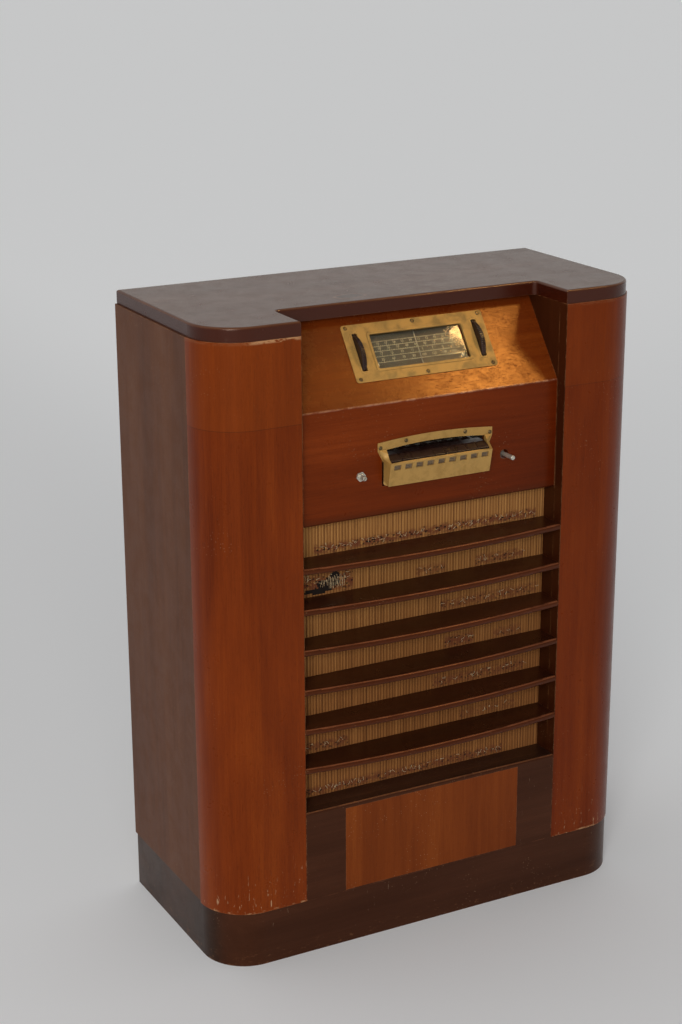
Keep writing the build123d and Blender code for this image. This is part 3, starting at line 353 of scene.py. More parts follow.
def top_stains_and_painted_shade(s, colour):
    """Dark red edges below the top face, a dark mark with a pale rim near the notch, a few blotches, and
    painted shade towards the right.
    """
    blot = s.spread(s.noise((14.0, 14.0, 14.0), 3.0, 0.6, 0.4, (7.0, 2.0, 0.0)), 0.60, 0.68)
    colour = s.mix(s.math("MULTIPLY", blot, 0.18), colour, (0.03, 0.010, 0.006))
    mark_x, mark_y = -77 * MM, -36 * MM
    mark_half_width, mark_half_depth = 24 * MM, 13 * MM
    across = s.math("DIVIDE", s.math("ADD", s.axis("x"), -mark_x), mark_half_width)
    along = s.math("DIVIDE", s.math("ADD", s.axis("y"), -mark_y), mark_half_depth)
    away = s.math("ADD", s.math("POWER", across, 2.0), s.math("POWER", along, 2.0))
    away = s.math("MULTIPLY_ADD", s.noise((60.0, 60.0, 60.0), 3.0, 0.6), 0.9, away)
    colour = s.mix(s.spread(away, 1.3, 1.0, 0.0, 0.55), colour, (0.030, 0.012, 0.008))
    rim = s.math("MULTIPLY", s.spread(away, 1.22, 1.36), s.spread(away, 1.60, 1.46))
    colour = s.mix(s.math("MULTIPLY", rim, 0.45), colour, (0.34, 0.20, 0.13))
    edge = s.spread(s.axis("z"), cad_top - 1.5 * MM, cad_top - 4 * MM)
    # Painted shade: darker towards the right.
    right_side_painted_lighting = s.spread(s.axis("x"), 0.10, 0.36, 0.0, 0.35)
    colour = s.mix(right_side_painted_lighting, colour, (0.040, 0.012, 0.006))
    return s.mix(edge, colour, (0.040, 0.006, 0.002))


def stained_front(s, colour):
    """The board is stained nearly black on the side behind the cloth."""
    front = s.spread(s.axis("y"), cloth_high.y + 1.2 * MM, cloth_high.y + 0.5 * MM)
    return s.mix(front, colour, (0.014, 0.008, 0.006))


materials = {
    "red_veneer": wood("red_veneer", more=post_details, specks=0.35, **RED),
    "panel_veneer": wood("panel_veneer", grain="x", more=control_panel_details, shift=4.0, **DEEP_RED),
    "dial_veneer": wood("dial_veneer", dark=(0.095, 0.014, 0.002), mid=(0.150, 0.024, 0.003),
                        light=(0.215, 0.042, 0.005), grain="x", gloss=0.26, specular=0.45,
                        varnish=(1.0, 0.56, 0.22), more=rubbed_break_and_painted_highlight, shift=9.0),
    "walnut_veneer": wood("walnut_veneer", dark=(0.078, 0.024, 0.008), mid=(0.106, 0.034, 0.011),
                          light=(0.136, 0.047, 0.016), gloss=0.40, specular=0.14, varnish=(1.0, 0.7, 0.5),
                          shift=2.0),
    "top_veneer": wood("top_veneer", dark=(0.070, 0.021, 0.010), mid=(0.092, 0.030, 0.014),
                       light=(0.116, 0.040, 0.019), grain="x", gloss=0.22, specular=0.42,
                       varnish=(1.0, 0.78, 0.66),
                       edge=1.5 * MM, wear=0.25, nose_painted_light=0.15, specks=0.2, pores=0.15, flatness=0.05,
                       more=top_stains_and_painted_shade, shift=6.0),
    "dark_wood": wood("dark_wood", dark=(0.015, 0.006, 0.004), mid=(0.031, 0.012, 0.007),
                      light=(0.054, 0.020, 0.011), grain="x", gloss=0.32, worn=(0.30, 0.11, 0.05), nose_painted_light=0.3,
                      more=plinth_scrapes, shift=3.0),
    "cheek_veneer": wood("cheek_veneer", dark=(0.026, 0.006, 0.002), mid=(0.042, 0.010, 0.003),
                         light=(0.065, 0.016, 0.005), gloss=0.38, shift=5.0),
    "louvre_wood": wood("louvre_wood", dark=(0.022, 0.006, 0.003), mid=(0.045, 0.011, 0.004),
                        light=(0.070, 0.018, 0.007), grain="x", gloss=0.30,
                        worn=(0.32, 0.105, 0.045), wear=0.7, nose_painted_light=0.5, shift=8.0),
    "inlay_veneer": wood("inlay_veneer", dark=(0.125, 0.022, 0.003), mid=(0.182, 0.036, 0.005),
                         light=(0.245, 0.056, 0.008), gloss=0.36, wear=0.2, shift=11.0),
    "softwood": wood("softwood", dark=(0.26, 0.15, 0.07), mid=(0.38, 0.24, 0.12), light=(0.48, 0.33, 0.18),
                     grain="x", gloss=0.68, varnish=(1.0, 1.0, 1.0), pores=0.3, worn=(0.30, 0.20, 0.11),
                     shift=13.0),
    "plywood": wood("plywood", dark=(0.24, 0.15, 0.08), mid=(0.34, 0.23, 0.12), light=(0.42, 0.30, 0.17),
                    grain="x", gloss=0.7, varnish=(1.0, 1.0, 1.0), pores=0.35, worn=(0.22, 0.14, 0.08),
                    more=stained_front, shift=17.0),
}


# ============================================================================================
# Metal, plastic, glass, paper, cord
# ============================================================================================
def metal(name, colour, dirt, gloss=0.35, metallic=1.0, brushed=None, rust=0.0, edge=0.8 * MM, more=None):
    """Plated or painted metal with uneven polish, grime in patches and rubbed edges."""
    s = Shader(name, metallic=metallic)
    grime = s.spread(s.noise((60.0, 60.0, 60.0), 5.0, 0.65, 0.4), 0.42, 0.70)
    fine = s.noise((700.0, 700.0, 700.0), 3.0, 0.6)
    tint = s.mix(s.math("MULTIPLY", grime, 0.55), colour, dirt)
    tint = s.mix(s.math("MULTIPLY", s.spread(fine, 0.60, 0.75), 0.35), tint, dirt)
    if rust:
        spot = s.spread(s.noise((130.0, 130.0, 130.0), 5.0, 0.7), 0.60, 0.70)
        tint = s.mix(s.math("MULTIPLY", spot, rust), tint, (0.14, 0.055, 0.02))
    bright = tuple(min(1.0, c * 1.3 + 0.05) for c in colour)
    tint = s.mix(s.math("MULTIPLY", s.edges(edge), 0.5), tint, bright)
    if more:
        tint = more(s, tint)
    rough = s.spread(grime, 0.0, 1.0, gloss, gloss + 0.25)
    if brushed:
        s.bump(s.noise(along_grain(brushed, 15.0, 1500.0), 2.0, 0.5), 0.02 * MM, 0.5)
    s.bump(fine, 0.03 * MM, 0.5)
    return s.paint(tint, rough)


def gilt_wear(s, tint):
    """Lacquer gone olive in patches, with dark pits."""
    patch = s.spread(s.noise((38.0, 38.0, 38.0), 4.0, 0.6, 0.5, (2.0, 5.0, 1.0)), 0.50, 0.68)
    tint = s.mix(s.math("MULTIPLY", patch, 0.35), tint, (0.27, 0.175, 0.05))
    pit = s.spread(s.cells((320.0, 320.0, 320.0)), 0.15, 0.09)
    zone = s.spread(s.noise((30.0, 30.0, 30.0), 2.0, 0.5, 0.0, (1.0, 0.0, 4.0)), 0.52, 0.62)
    return s.mix(s.math("MULTIPLY", s.math("MULTIPLY", pit, zone), 0.8), tint, (0.10, 0.06, 0.02))


def scale_screws_bright(s, tint):
    """The two screws that hold the dial scale are bright; the rest are dull."""
    sides = s.math("ABSOLUTE", s.math("SUBTRACT", s.axis("x"), set_x))
    outer = s.spread(sides, 74 * MM, 76 * MM, 1.0, 0.0)
    inner = s.spread(sides, 62 * MM, 64 * MM)
    return s.mix(s.math("MULTIPLY", inner, outer), tint, (0.80, 0.76, 0.66))


def plastic(name, colour, light, gloss=0.22, grain=0.02):
    """Moulded plastic: faint swirl in the colour, fine surface scratches, a dull bloom in places, and a
    painted highlight along the edges.
    """
    s = Shader(name, specular_ior_level=0.45)
    swirl = s.noise((90.0, 90.0, 90.0), 4.0, 0.6, 1.2)
    colour = s.ramp(swirl, (0.35, colour), (0.70, light))
    dust = s.spread(s.noise((260.0, 260.0, 260.0), 4.0, 0.7), 0.58, 0.74)
    colour = s.mix(s.math("MULTIPLY", dust, 0.05), colour, (0.26, 0.21, 0.17))
    # Painted highlight: lighter along the edges.
    colour = s.mix(s.math("MULTIPLY", s.edges(0.8 * MM), 0.2), colour, tuple(c * 2.0 + 0.01 for c in light))
    rough = s.spread(swirl, 0.3, 0.7, gloss, gloss + 0.16)
    s.bump(s.noise((900.0, 900.0, 900.0), 2.0, 0.5), grain * MM, 0.5)
    return s.paint(colour, rough)


def glass(name, tint=(0.96, 0.98, 0.95), specular=0.5):
    """Clear glass with a little dust on it."""
    s = Shader(name, transmission_weight=1.0, ior=1.45, specular_ior_level=specular)
    dust = s.noise((140.0, 140.0, 140.0), 5.0, 0.7)
    colour = s.mix(s.math("MULTIPLY", s.spread(dust, 0.5, 0.8), 0.25), tint, (0.72, 0.68, 0.58))
    return s.paint(colour, s.spread(dust, 0.4, 0.8, 0.02, 0.16))


def dial_print():
    """Printed scale: olive-grey ground, darker at the top, browner and dirtier to the right."""
    s = Shader("dial_print", specular_ior_level=0.4)
    top = dial_origin.z + 82 * MM
    bottom = dial_origin.z + 38 * MM
    down = s.spread(s.axis("z"), top, bottom)
    across = s.spread(s.axis("x"), set_x - 70 * MM, set_x + 75 * MM)
    ground = s.mix(across, (0.105, 0.105, 0.070), (0.205, 0.150, 0.080))
    ground = s.mix(s.math("MULTIPLY", s.math("SUBTRACT", 1.0, down), 0.6), ground, (0.065, 0.060, 0.040))
    stain = s.spread(s.noise((70.0, 70.0, 70.0), 4.0, 0.6, 0.6), 0.42, 0.66)
    ground = s.mix(s.math("MULTIPLY", stain, 0.45), ground, (0.16, 0.115, 0.06))
    s.bump(s.noise((500.0, 500.0, 500.0), 2.0, 0.5), 0.02 * MM, 0.4)
    return s.paint(ground, s.spread(stain, 0.0, 1.0, 0.30, 0.50))


def ink(name, colour):
    """Printed lines and figures, a little faded."""
    s = Shader(name, specular_ior_level=0.3)
    fade = s.spread(s.noise((180.0, 180.0, 180.0), 4.0, 0.7), 0.35, 0.7)
    faded = tuple(c * 0.45 + 0.03 for c in colour)
    s.bump(s.noise((800.0, 800.0, 800.0), 1.0, 0.5), 0.01 * MM, 0.4)
    return s.paint(s.mix(fade, colour, faded), s.spread(fade, 0.0, 1.0, 0.4, 0.6))


def card():
    """Browned label card."""
    s = Shader("label_card", specular_ior_level=0.25)
    fibre = s.noise((600.0, 600.0, 600.0), 3.0, 0.6)
    stain = s.spread(s.noise((90.0, 90.0, 90.0), 4.0, 0.6), 0.4, 0.7)
    colour = s.mix(fibre, (0.17, 0.115, 0.065), (0.25, 0.175, 0.10))
    colour = s.mix(s.math("MULTIPLY", stain, 0.6), colour, (0.09, 0.052, 0.028))
    s.bump(fibre, 0.03 * MM, 0.4)
    return s.paint(colour, s.spread(stain, 0.0, 1.0, 0.5, 0.7))


def paper_cone():
    """Grey-brown pressed paper."""
    s = Shader("cone_paper", specular_ior_level=0.2)
    fibre = s.noise((400.0, 400.0, 400.0), 5.0, 0.7, 0.8)
    colour = s.ramp(fibre, (0.30, (0.045, 0.038, 0.030)), (0.70, (0.12, 0.10, 0.075)))
    s.bump(fibre, 0.15 * MM, 0.5)
    return s.paint(colour, s.spread(fibre, 0.3, 0.7, 0.75, 0.9))


def twisted_cord():
    """Waxed cord."""
    s = Shader("cord", specular_ior_level=0.3)
    lay = s.noise((1500.0, 1500.0, 1500.0), 2.0, 0.5)
    colour = s.ramp(lay, (0.35, (0.20, 0.15, 0.08)), (0.65, (0.42, 0.34, 0.22)))
    s.bump(lay, 0.1 * MM, 0.6)
    return s.paint(colour, s.spread(lay, 0.3, 0.7, 0.5, 0.7))


def soft_rubber():
    """Old black rubber with a grey bloom."""
    s = Shader("rubber", specular_ior_level=0.3)
    bloom = s.spread(s.noise((250.0, 250.0, 250.0), 4.0, 0.6), 0.4, 0.7)
    s.bump(s.noise((900.0, 900.0, 900.0), 2.0, 0.5), 0.05 * MM, 0.5)
    colour = s.mix(bloom, (0.012, 0.012, 0.012), (0.045, 0.042, 0.038))
    return s.paint(colour, s.spread(bloom, 0, 1, 0.55, 0.8))


def grille_fabric():
    """Ribbed grille cloth: upright cords with dark gaps, soiled, and frayed where `wear` says."""
    s = Shader("grille_cloth", specular_ior_level=0.15, sheen_weight=0.15, sheen_roughness=0.5)
    rib_pitch = 4.8 * MM
    wander = s.noise((180.0, 1.0, 3.0), 1.0, 0.5)
    phase = s.math("MULTIPLY_ADD", wander, 3.0, s.math("MULTIPLY", s.axis("x"), 2 * math.pi / rib_pitch))
    rib = s.math("MULTIPLY_ADD", s.math("SINE", phase), 0.5, 0.5)
    shade = s.noise((420.0, 1.0, 5.0), 2.0, 0.7)
    thread = s.noise((2400.0, 1.0, 80.0), 2.0, 0.6)
    weft = s.math("SINE", s.math("MULTIPLY", s.axis("z"), 2 * math.pi / (1.1 * MM)))
    tone = s.math("MULTIPLY_ADD", rib, 0.27, s.math("MULTIPLY", shade, 0.68))
    tone = s.math("MULTIPLY_ADD", thread, 0.25, tone)
    tone = s.math("MULTIPLY_ADD", weft, 0.02, tone)
    dark, mid, light = (0.125, 0.046, 0.012), (0.325, 0.140, 0.038), (0.53, 0.265, 0.082)
    colour = s.ramp(tone, (0.32, dark), (0.58, mid), (0.84, light))
    soil = s.spread(s.axis("z"), cloth_high.z, cloth_low.z + 0.12, 0.0, 0.62)
    colour = s.mix(soil, colour, s.mix(1.0, colour, (0.60, 0.43, 0.34), "MULTIPLY"))
    wear = s.tree.nodes.new("ShaderNodeAttribute")
    wear.attribute_name = "wear"
    worn = wear.outputs["Fac"]
    rusty = s.math("MULTIPLY", worn, s.spread(s.noise((120.0, 1.0, 160.0), 3.0, 0.6), 0.36, 0.52))
    colour = s.mix(s.math("MULTIPLY", rusty, 0.9), colour, (0.145, 0.036, 0.016))
    pin = s.math("MULTIPLY", worn, s.spread(s.cells((170.0, 1.0, 210.0)), 0.36, 0.24))
    colour = s.mix(pin, colour, (0.018, 0.008, 0.005))
    pale = s.math("MULTIPLY", worn, s.spread(s.noise((480.0, 1.0, 200.0), 3.0, 0.6, 0.5), 0.62, 0.70))
    colour = s.mix(s.math("MULTIPLY", pale, 0.5), colour, (0.36, 0.22, 0.11))
    s.bump(s.math("MULTIPLY_ADD", thread, 0.5, s.math("MULTIPLY", weft, 0.25)), 0.12 * MM, 0.7)
    return s.paint(colour, s.spread(shade, 0.3, 0.7, 0.82, 0.95))


def thread_fibre():
    """Loose threads pulled from the grille cloth."""
    s = Shader("loose_thread", specular_ior_level=0.2, sheen_weight=0.2)
    tone = s.noise((300.0, 300.0, 300.0), 2.0, 0.6)
    s.bump(s.noise((3000.0, 3000.0, 3000.0), 1.0, 0.5), 0.05 * MM, 0.5)
    return s.paint(s.ramp(tone, (0.36, (0.26, 0.13, 0.06)), (0.52, (0.66, 0.50, 0.29))), 0.85)


materials.update({
    "gilt_brass": metal("gilt_brass", (0.46, 0.265, 0.068), (0.32, 0.185, 0.050), 0.50, 0.28, more=gilt_wear),
    "brass_screw": metal("brass_screw", (0.16, 0.11, 0.05), (0.07, 0.05, 0.03), 0.4, 0.9,
                         more=scale_screws_bright),
    "plated_steel": metal("plated_steel", (0.46, 0.44, 0.40), (0.27, 0.24, 0.19), 0.38, 0.9, rust=0.35),
    "bright_shaft": metal("bright_shaft", (0.56, 0.53, 0.46), (0.30, 0.26, 0.19), 0.34, 0.6, brushed="y"),
    "aluminium": metal("aluminium", (0.62, 0.62, 0.61), (0.42, 0.41, 0.39), 0.36, 1.0, brushed="z"),
    "black_iron": metal("black_iron", (0.020, 0.020, 0.021), (0.060, 0.052, 0.044), 0.42, 0.2, rust=0.25),
    "moulded_plastic": plastic("moulded_plastic", (0.014, 0.004, 0.003), (0.028, 0.008, 0.006), 0.26, 0.01),
    "bakelite": plastic("bakelite", (0.020, 0.010, 0.007), (0.045, 0.022, 0.014), 0.3),
    "clear_glass": glass("clear_glass"),
    "dial_glass": glass("dial_glass", (0.98, 0.97, 0.92), 0.2),
    "dial_print": dial_print(),
    "dial_ink": ink("dial_ink", (0.78, 0.70, 0.46)),
    "label_ink": ink("label_ink", (0.030, 0.018, 0.012)),
    "label_card": card(),
    "cone_paper": paper_cone(),
    "cord": twisted_cord(),
    "rubber": soft_rubber(),
    "grille_cloth": grille_fabric(),
    "loose_thread": thread_fibre(),
})

# Every CAD node takes its record slot's material, apart from those named here.
own_finish = {
    "dial_panel": "dial_veneer",
    "control_panel": "panel_veneer",
    "left_inner_cheek": "cheek_veneer",
    "right_inner_cheek": "cheek_veneer",
    "louvres": "louvre_wood",
    "dial_window": "dial_glass",
    "fixing_bolts": "bright_shaft",
    "volume_shaft": "bright_shaft",
    "tuning_shaft": "bright_shaft",
}
slots = {row["node"]: row["material_slot"] for row in frame["record"]["subparts"]}
for name, piece in nodes.items():
    finish = materials[own_finish.get(name, slots[name])]
    if not piece.material_slots:
        piece.data.materials.append(finish)
    for material_slot in piece.material_slots:
        material_slot.material = finish


# ============================================================================================
# Pieces built here
# ============================================================================================
def add_piece(name, mesh, body, finish, smooth=True):
    """Puts a mesh in the scene as a piece of the object."""
    piece = bpy.data.objects.new(name, mesh)
    bpy.context.scene.collection.objects.link(piece)
    piece.data.materials.append(materials[finish])
    if smooth and piece.type == "MESH":
        for polygon in mesh.polygons:
            polygon.use_smooth = True
    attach(piece, body)
    return piece


def from_bmesh(name, work):
    mesh = bpy.data.meshes.new(name)
    work.normal_update()
    work.to_mesh(mesh)
    work.free()
    return mesh


# ---- Grille cloth --------------------------------------------------------------------------
# Frayed stretches, one row each: gap counted from the top, from and to as shares of the width,
# height above the louvre below, and how frayed it is.
frays = [
    (0, 0.09, 0.97, 11 * MM, 1.0),
    (1, 0.01, 0.24, 24 * MM, 1.0),
    (1, 0.48, 0.60, 12 * MM, 0.6),
    (1, 0.72, 0.92, 13 * MM, 0.8),
    (2, 0.58, 0.98, 13 * MM, 0.7),
    (3, 0.60, 0.72, 14 * MM, 0.9),
    (3, 0.80, 0.92, 12 * MM, 0.6),
    (4, 0.55, 0.93, 13 * MM, 0.7),
    (5, 0.05, 0.22, 13 * MM, 0.7),
    (5, 0.66, 0.90, 13 * MM, 0.4),
    (6, 0.03, 0.85, 11 * MM, 0.8),
]
# Holes at the left of the second gap: centre from the left and above the louvre, half sizes.
tears = [
    (44 * MM, 5 * MM, 26 * MM, 4 * MM),
    (60 * MM, 14 * MM, 20 * MM, 8 * MM),
    (72 * MM, 24 * MM, 8 * MM, 8 * MM),
]
# Cream threads hanging over the holes: from and to across, feet and heads above the louvre, count.
hanging = [
    (3 * MM, 9 * MM, 6 * MM, 38 * MM, 3),
    (10 * MM, 30 * MM, 22 * MM, 40 * MM, 7),
    (50 * MM, 60 * MM, 10 * MM, 24 * MM, 5),
    (60 * MM, 86 * MM, 4 * MM, 28 * MM, 16),
]


def gap_floor(gap):
    """Height of the ledge under a gap, with gap 0 at the top."""
    if gap == louvre_count:
        return apron_top
    return louvre_high.z - gap * louvre_pitch


def wear_at(x, z):
    """How frayed the cloth is at a place, from 0 to 1."""
    share = (x + bay_half) / (2 * bay_half)
    worst = 0.0
    for gap, start, end, rise, amount in frays:
        ragged = 3 * MM * noise.noise(Vector((x * 90, gap * 5.0, 0.0)))
        away = abs(z - gap_floor(gap) - rise * 0.7 - ragged) / (rise * 0.75)
        inside = start < share < end
        if inside and away < 1:
            worst = max(worst, amount * (1 - away * away))
    return worst


def torn_away(x, z):
    """True inside one of the ragged holes."""
    ragged = 0.45 * noise.noise(Vector((x * 150, z * 90, 2.0)))
    for left, rise, half_x, half_z in tears:
        across = (x + bay_half - left) / half_x
        up = (z - gap_floor(1) - rise) / half_z
        if across * across + up * up + ragged < 0.85:
            return True
    return False


def make_cloth():
    """The stretched cloth as one ribbed sheet with a tear in it."""
    columns = 400
    rows = 160
    depth = 0.30 * MM
    front = cloth_low.y + 0.42 * MM
    work = bmesh.new()
    layer = work.verts.layers.float.new("wear")
    grid = []
    for row in range(rows + 1):
        z = cloth_low.z + (cloth_high.z - cloth_low.z) * row / rows
        line = []
        for column in range(columns + 1):
            x = cloth_low.x + (cloth_high.x - cloth_low.x) * column / columns
            ribs = math.sin(column * math.pi / 2)
            slack = noise.noise(Vector((x * 14, z * 14, 0.0))) * 0.5
            wear = wear_at(x, z)
            pucker = wear * noise.noise(Vector((x * 260, z * 260, 3.0)))
            vertex = work.verts.new((x, front - depth * (0.5 * ribs + 0.3 * slack + 0.35 * pucker), z))
            vertex[layer] = wear
            line.append(vertex)
        grid.append(line)
    for low_line, high_line in zip(grid, grid[1:]):
        for i in range(columns):
            corners = (low_line[i], low_line[i + 1], high_line[i + 1], high_line[i])
            if not torn_away(corners[0].co.x, corners[0].co.z):
                work.faces.new(corners)
    loose = [vertex for vertex in work.verts if not vertex.link_faces]
    bmesh.ops.delete(work, geom=loose, context="VERTS")
    mesh = from_bmesh("grille_weave", work)
    return add_piece("grille_weave", mesh, "cabinet", "grille_cloth")


def make_threads():
    """Loose threads: short curls along the frayed stretches, longer ones hanging in the tear."""
    chance = random.Random(5)
    curve = bpy.data.curves.new("loose_threads", "CURVE")
    curve.dimensions = "3D"
    curve.bevel_depth = 0.30 * MM
    curve.bevel_resolution = 1
    curve.resolution_u = 3
    front = cloth_low.y - 0.2 * MM

    def strand(start, steps, step, fall, spread):
        spline = curve.splines.new("NURBS")
        spline.points.add(steps - 1)
        place = Vector(start)
        drift = Vector((chance.uniform(-1, 1) * spread, 0.0, -fall))
        for point in spline.points:
            point.co = (*place, 1.0)
            drift.x += chance.uniform(-1, 1) * spread
            drift.z += chance.uniform(-1, 1) * spread * 0.8
            place = place + drift.normalized() * step
            place.y = front - chance.uniform(0.1, 1.3) * MM
        spline.order_u = 3
        spline.use_endpoint_u = True

    for gap, start, end, rise, amount in frays:
        width = (end - start) * 2 * bay_half
        for _ in range(int(width / MM * 0.16 * amount)):
            x = -bay_half + (start + (end - start) * chance.random()) * 2 * bay_half
            z = gap_floor(gap) + rise * chance.uniform(0.7, 1.25)
            if abs(x) < bay_half - 3 * MM:
                strand((x, front, z), 5, 1.5 * MM, 0.4, 0.9)
    for left, right, foot, head, count in hanging:
        for i in range(count):
            x = -bay_half + left + (right - left) * (i + chance.uniform(0.2, 0.8)) / count
            z = gap_floor(1) + head * chance.uniform(0.75, 1.0)
            steps = chance.randint(4, 6)
            fall = (z - gap_floor(1) - foot * chance.uniform(0.8, 1.3)) / steps
            strand((x, front, z), steps, fall, 1.0, 0.16)
    return add_piece("loose_threads", curve, "cabinet", "loose_thread", smooth=False)


cloth = make_cloth()
threads = make_threads()
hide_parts("grille_cloth")


# ---- Print on the dial and the key labels --------------------------------------------------
def dial_place(x, up, depth):
    """Point on the dial, `depth` behind the dial panel's face."""
    return dial_origin + dial_across * x + dial_up * up - dial_out * depth


def add_bar(work, corner, across, up, thickness, out):
    """A thin raised bar from its lower left corner."""
    base = [corner, corner + across, corner + across + up, corner + up]
    low = [work.verts.new(place) for place in base]
    high = [work.verts.new(place + out * thickness) for place in base]
    work.faces.new(high)
    for i in range(4):
        j = (i + 1) % 4
        work.faces.new((low[i], low[j], high[j], high[i]))


def add_figures(work, text, place, across, up, out, height, thickness):
    """Raised figures, centred on a place."""
    curve = bpy.data.curves.new("figures", "FONT")
    curve.body = text
    curve.size = height / 0.7
    curve.align_x = "CENTER"
    curve.align_y = "CENTER"
    curve.extrude = thickness / 2
    curve.offset = 0.12 * MM
    curve.resolution_u = 2
    holder = bpy.data.objects.new("figures", curve)
    mesh = bpy.data.meshes.new_from_object(holder)
    turn = Matrix((across, up, out)).transposed().to_4x4()
    mesh.transform(Matrix.Translation(place + out * thickness / 2) @ turn)
    work.from_mesh(mesh)
    bpy.data.objects.remove(holder)
    bpy.data.curves.remove(curve)
    bpy.data.meshes.remove(mesh)


scale_depth = 9 * MM
print_thickness = 0.08 * MM
scale_half = 68 * MM
scale_lines = [94.5 * MM, 87.0 * MM, 79.5 * MM, 71.5 * MM, 62.5 * MM]
scale_figures = [
    ["18", "17", "16", "15", "14", "13", "12", "11", "10", "9"],
    ["60", "56", "52", "48", "44", "40", "36", "32", "28"],
    ["17", "15", "13", "11", "9", "7", "6", "5"],
    ["55", "60", "70", "80", "100", "120", "140", "160"],
]


def make_dial_print():
    """Ruled lines, ticks and figures of the tuning scale."""
    work = bmesh.new()
    rule = 0.9 * MM
    for up in scale_lines:
        corner = dial_place(-scale_half, up, scale_depth)
        add_bar(work, corner, dial_across * 2 * scale_half, dial_up * rule, print_thickness, dial_out)
    for low, figures in zip(scale_lines[1:], scale_figures):
        ticks = 4 * len(figures)
        for i in range(ticks + 1):
            tall = 2.2 * MM if i % 4 == 2 else 1.1 * MM
            x = scale_half * (2 * i / ticks - 1) * 0.97
            corner = dial_place(x, low + rule, scale_depth)
            add_bar(work, corner, dial_across * 0.7 * MM, dial_up * tall, print_thickness, dial_out)
        for i, text in enumerate(figures):
            x = scale_half * ((2 * i + 1) / len(figures) - 1) * 0.97
            place = dial_place(x, low + 4.9 * MM, scale_depth)
            add_figures(work, text, place, dial_across, dial_up, dial_out, 3.6 * MM, print_thickness)
    mesh = from_bmesh("dial_markings", work)
    return add_piece("dial_markings", mesh, "cabinet", "dial_ink", smooth=False)


make_dial_print()


def make_key_print():
    """Three short rows of printed dashes behind each label window."""
    chance = random.Random(11)
    low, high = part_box("label_strip")
    plate_run, plate_rise = 7.2 * MM, 34.0 * MM
    lean = math.atan2(plate_run, plate_rise)
    up = Vector((0, -math.sin(lean), math.cos(lean)))
    out = Vector((0, -math.cos(lean), -math.sin(lean)))
    face = (low + high) / 2 + out * 0.2 * MM
    work = bmesh.new()
    for key in range(1, 10):
        key_low, key_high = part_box(f"key_{key}")
        middle = Vector(((key_low.x + key_high.x) / 2, face.y, face.z))
        for row in (2.2 * MM, -0.4 * MM, -3.0 * MM):
            x = -4.6 * MM
            while x < 3.2 * MM:
                width = chance.uniform(0.7, 1.3) * MM
                corner = middle + dial_across * x + up * row
                add_bar(work, corner, dial_across * width, up * 1.3 * MM, print_thickness, out)
                x += width + chance.uniform(0.35, 0.7) * MM
    mesh = from_bmesh("label_print", work)
    return add_piece("label_print", mesh, "cabinet", "label_ink", smooth=False)


make_key_print()


# ============================================================================================
# Studio
# ============================================================================================
def area_light(name, place, target, size, power, colour=(1.0, 1.0, 1.0)):
    data = bpy.data.lights.new(name, "AREA")
    data.shape = "RECTANGLE"
    data.size, data.size_y = size
    data.energy = power
    data.color = colour
    light = bpy.data.objects.new(name, data)
    light.location = place
    light.rotation_euler = (Vector(target) - Vector(place)).to_track_quat("-Z", "Y").to_euler()
    bpy.context.scene.collection.objects.link(light)
    return light


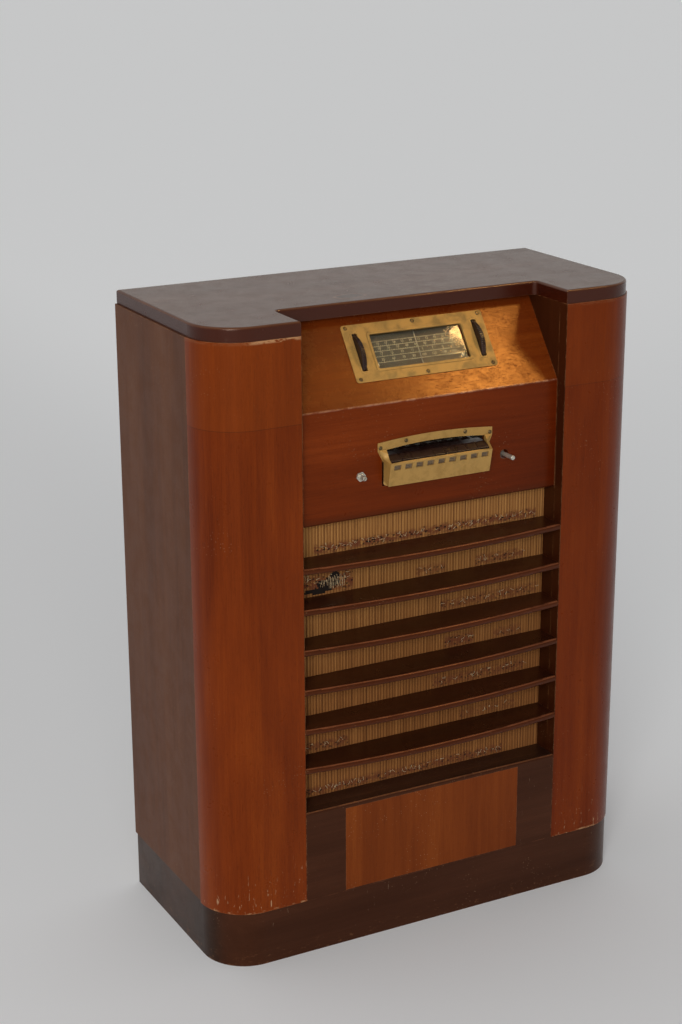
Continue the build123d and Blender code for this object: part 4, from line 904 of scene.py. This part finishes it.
def make_world():
    """Brighter behind the cabinet than in front of it, and even where the camera sees it."""
    world = bpy.data.worlds.new("studio")
    world.use_nodes = True
    tree = world.node_tree
    background = tree.nodes["Background"]
    direction = tree.nodes.new("ShaderNodeTexCoord").outputs["Generated"]
    split = tree.nodes.new("ShaderNodeSeparateXYZ")
    tree.links.new(direction, split.inputs[0])
    glow = tree.nodes.new("ShaderNodeMapRange")
    tree.links.new(split.outputs["Y"], glow.inputs["Value"])
    for socket, number in zip(("From Min", "From Max", "To Min", "To Max"), (-0.5, 0.5, 0.22, 0.56)):
        glow.inputs[socket].default_value = number
    seen = tree.nodes.new("ShaderNodeLightPath").outputs["Is Camera Ray"]
    choose = tree.nodes.new("ShaderNodeMix")
    tree.links.new(seen, choose.inputs["Factor"])
    tree.links.new(glow.outputs[0], choose.inputs[2])
    choose.inputs[3].default_value = 0.62
    tree.links.new(choose.outputs[0], background.inputs["Strength"])
    background.inputs["Color"].default_value = (1.0, 0.97, 0.93, 1.0)
    bpy.context.scene.world = world


def make_lights():
    """Broad daylight, a soft key from the left front, and two small warm lights on the dial."""
    sun = bpy.data.lights.new("day", "SUN")
    sun.energy = 0.75
    sun.angle = math.radians(40)
    sun.color = (1.0, 0.97, 0.92)
    day = bpy.data.objects.new("day", sun)
    day.rotation_euler = Vector((0.50, 0.78, -0.45)).to_track_quat("-Z", "Y").to_euler()
    bpy.context.scene.collection.objects.link(day)
    middle = Vector((0, 0, 0.55))
    area_light("key", (-1.75, -2.55, 1.70), middle, (0.7, 0.7), 27.0, (1.0, 0.96, 0.90))
    low_target = dial_place(55 * MM, 12 * MM, 0.0)
    high_target = dial_place(135 * MM, 55 * MM, 0.0)
    low_place = (0.675, -0.693, 1.678)
    high_place = (0.777, -0.646, 1.711)
    glows = [
        area_light("low_glow", low_place, low_target, (0.13, 0.05), 2.2, (1.0, 0.64, 0.22)),
        area_light("high_glow", high_place, high_target, (0.10, 0.22), 1.8, (1.0, 0.58, 0.20)),
    ]
    for glow in glows:
        glow.visible_diffuse = False


def make_floor():
    """A pale floor that glows a little, more behind the cabinet and to its right: painted light."""
    floor_half = 30.0
    mesh = bpy.data.meshes.new("floor")
    corners = [(-floor_half, -floor_half, 0), (floor_half, -floor_half, 0)]
    corners += [(floor_half, floor_half, 0), (-floor_half, floor_half, 0)]
    mesh.from_pydata(corners, [], [(0, 1, 2, 3)])
    floor = bpy.data.objects.new("floor", mesh)
    bpy.context.scene.collection.objects.link(floor)
    s = Shader("floor", specular_ior_level=0.1, emission_color=(0.97, 1.0, 1.0))
    # Painted light: the floor glows more far behind the cabinet and to its right.
    painted_glow_behind = s.spread(s.axis("y"), 0.3, 4.0, 0.03, 0.09)
    right_side_painted_lighting = s.spread(s.axis("x"), 0.2, 1.2, 0.0, 0.06)
    s.feed(s.surface.inputs["Emission Strength"], s.math("ADD", painted_glow_behind, right_side_painted_lighting))
    floor.data.materials.append(s.paint((0.84, 0.865, 0.91), 0.8))


make_world()
make_lights()
make_floor()
bpy.context.scene.view_settings.view_transform = "Standard"
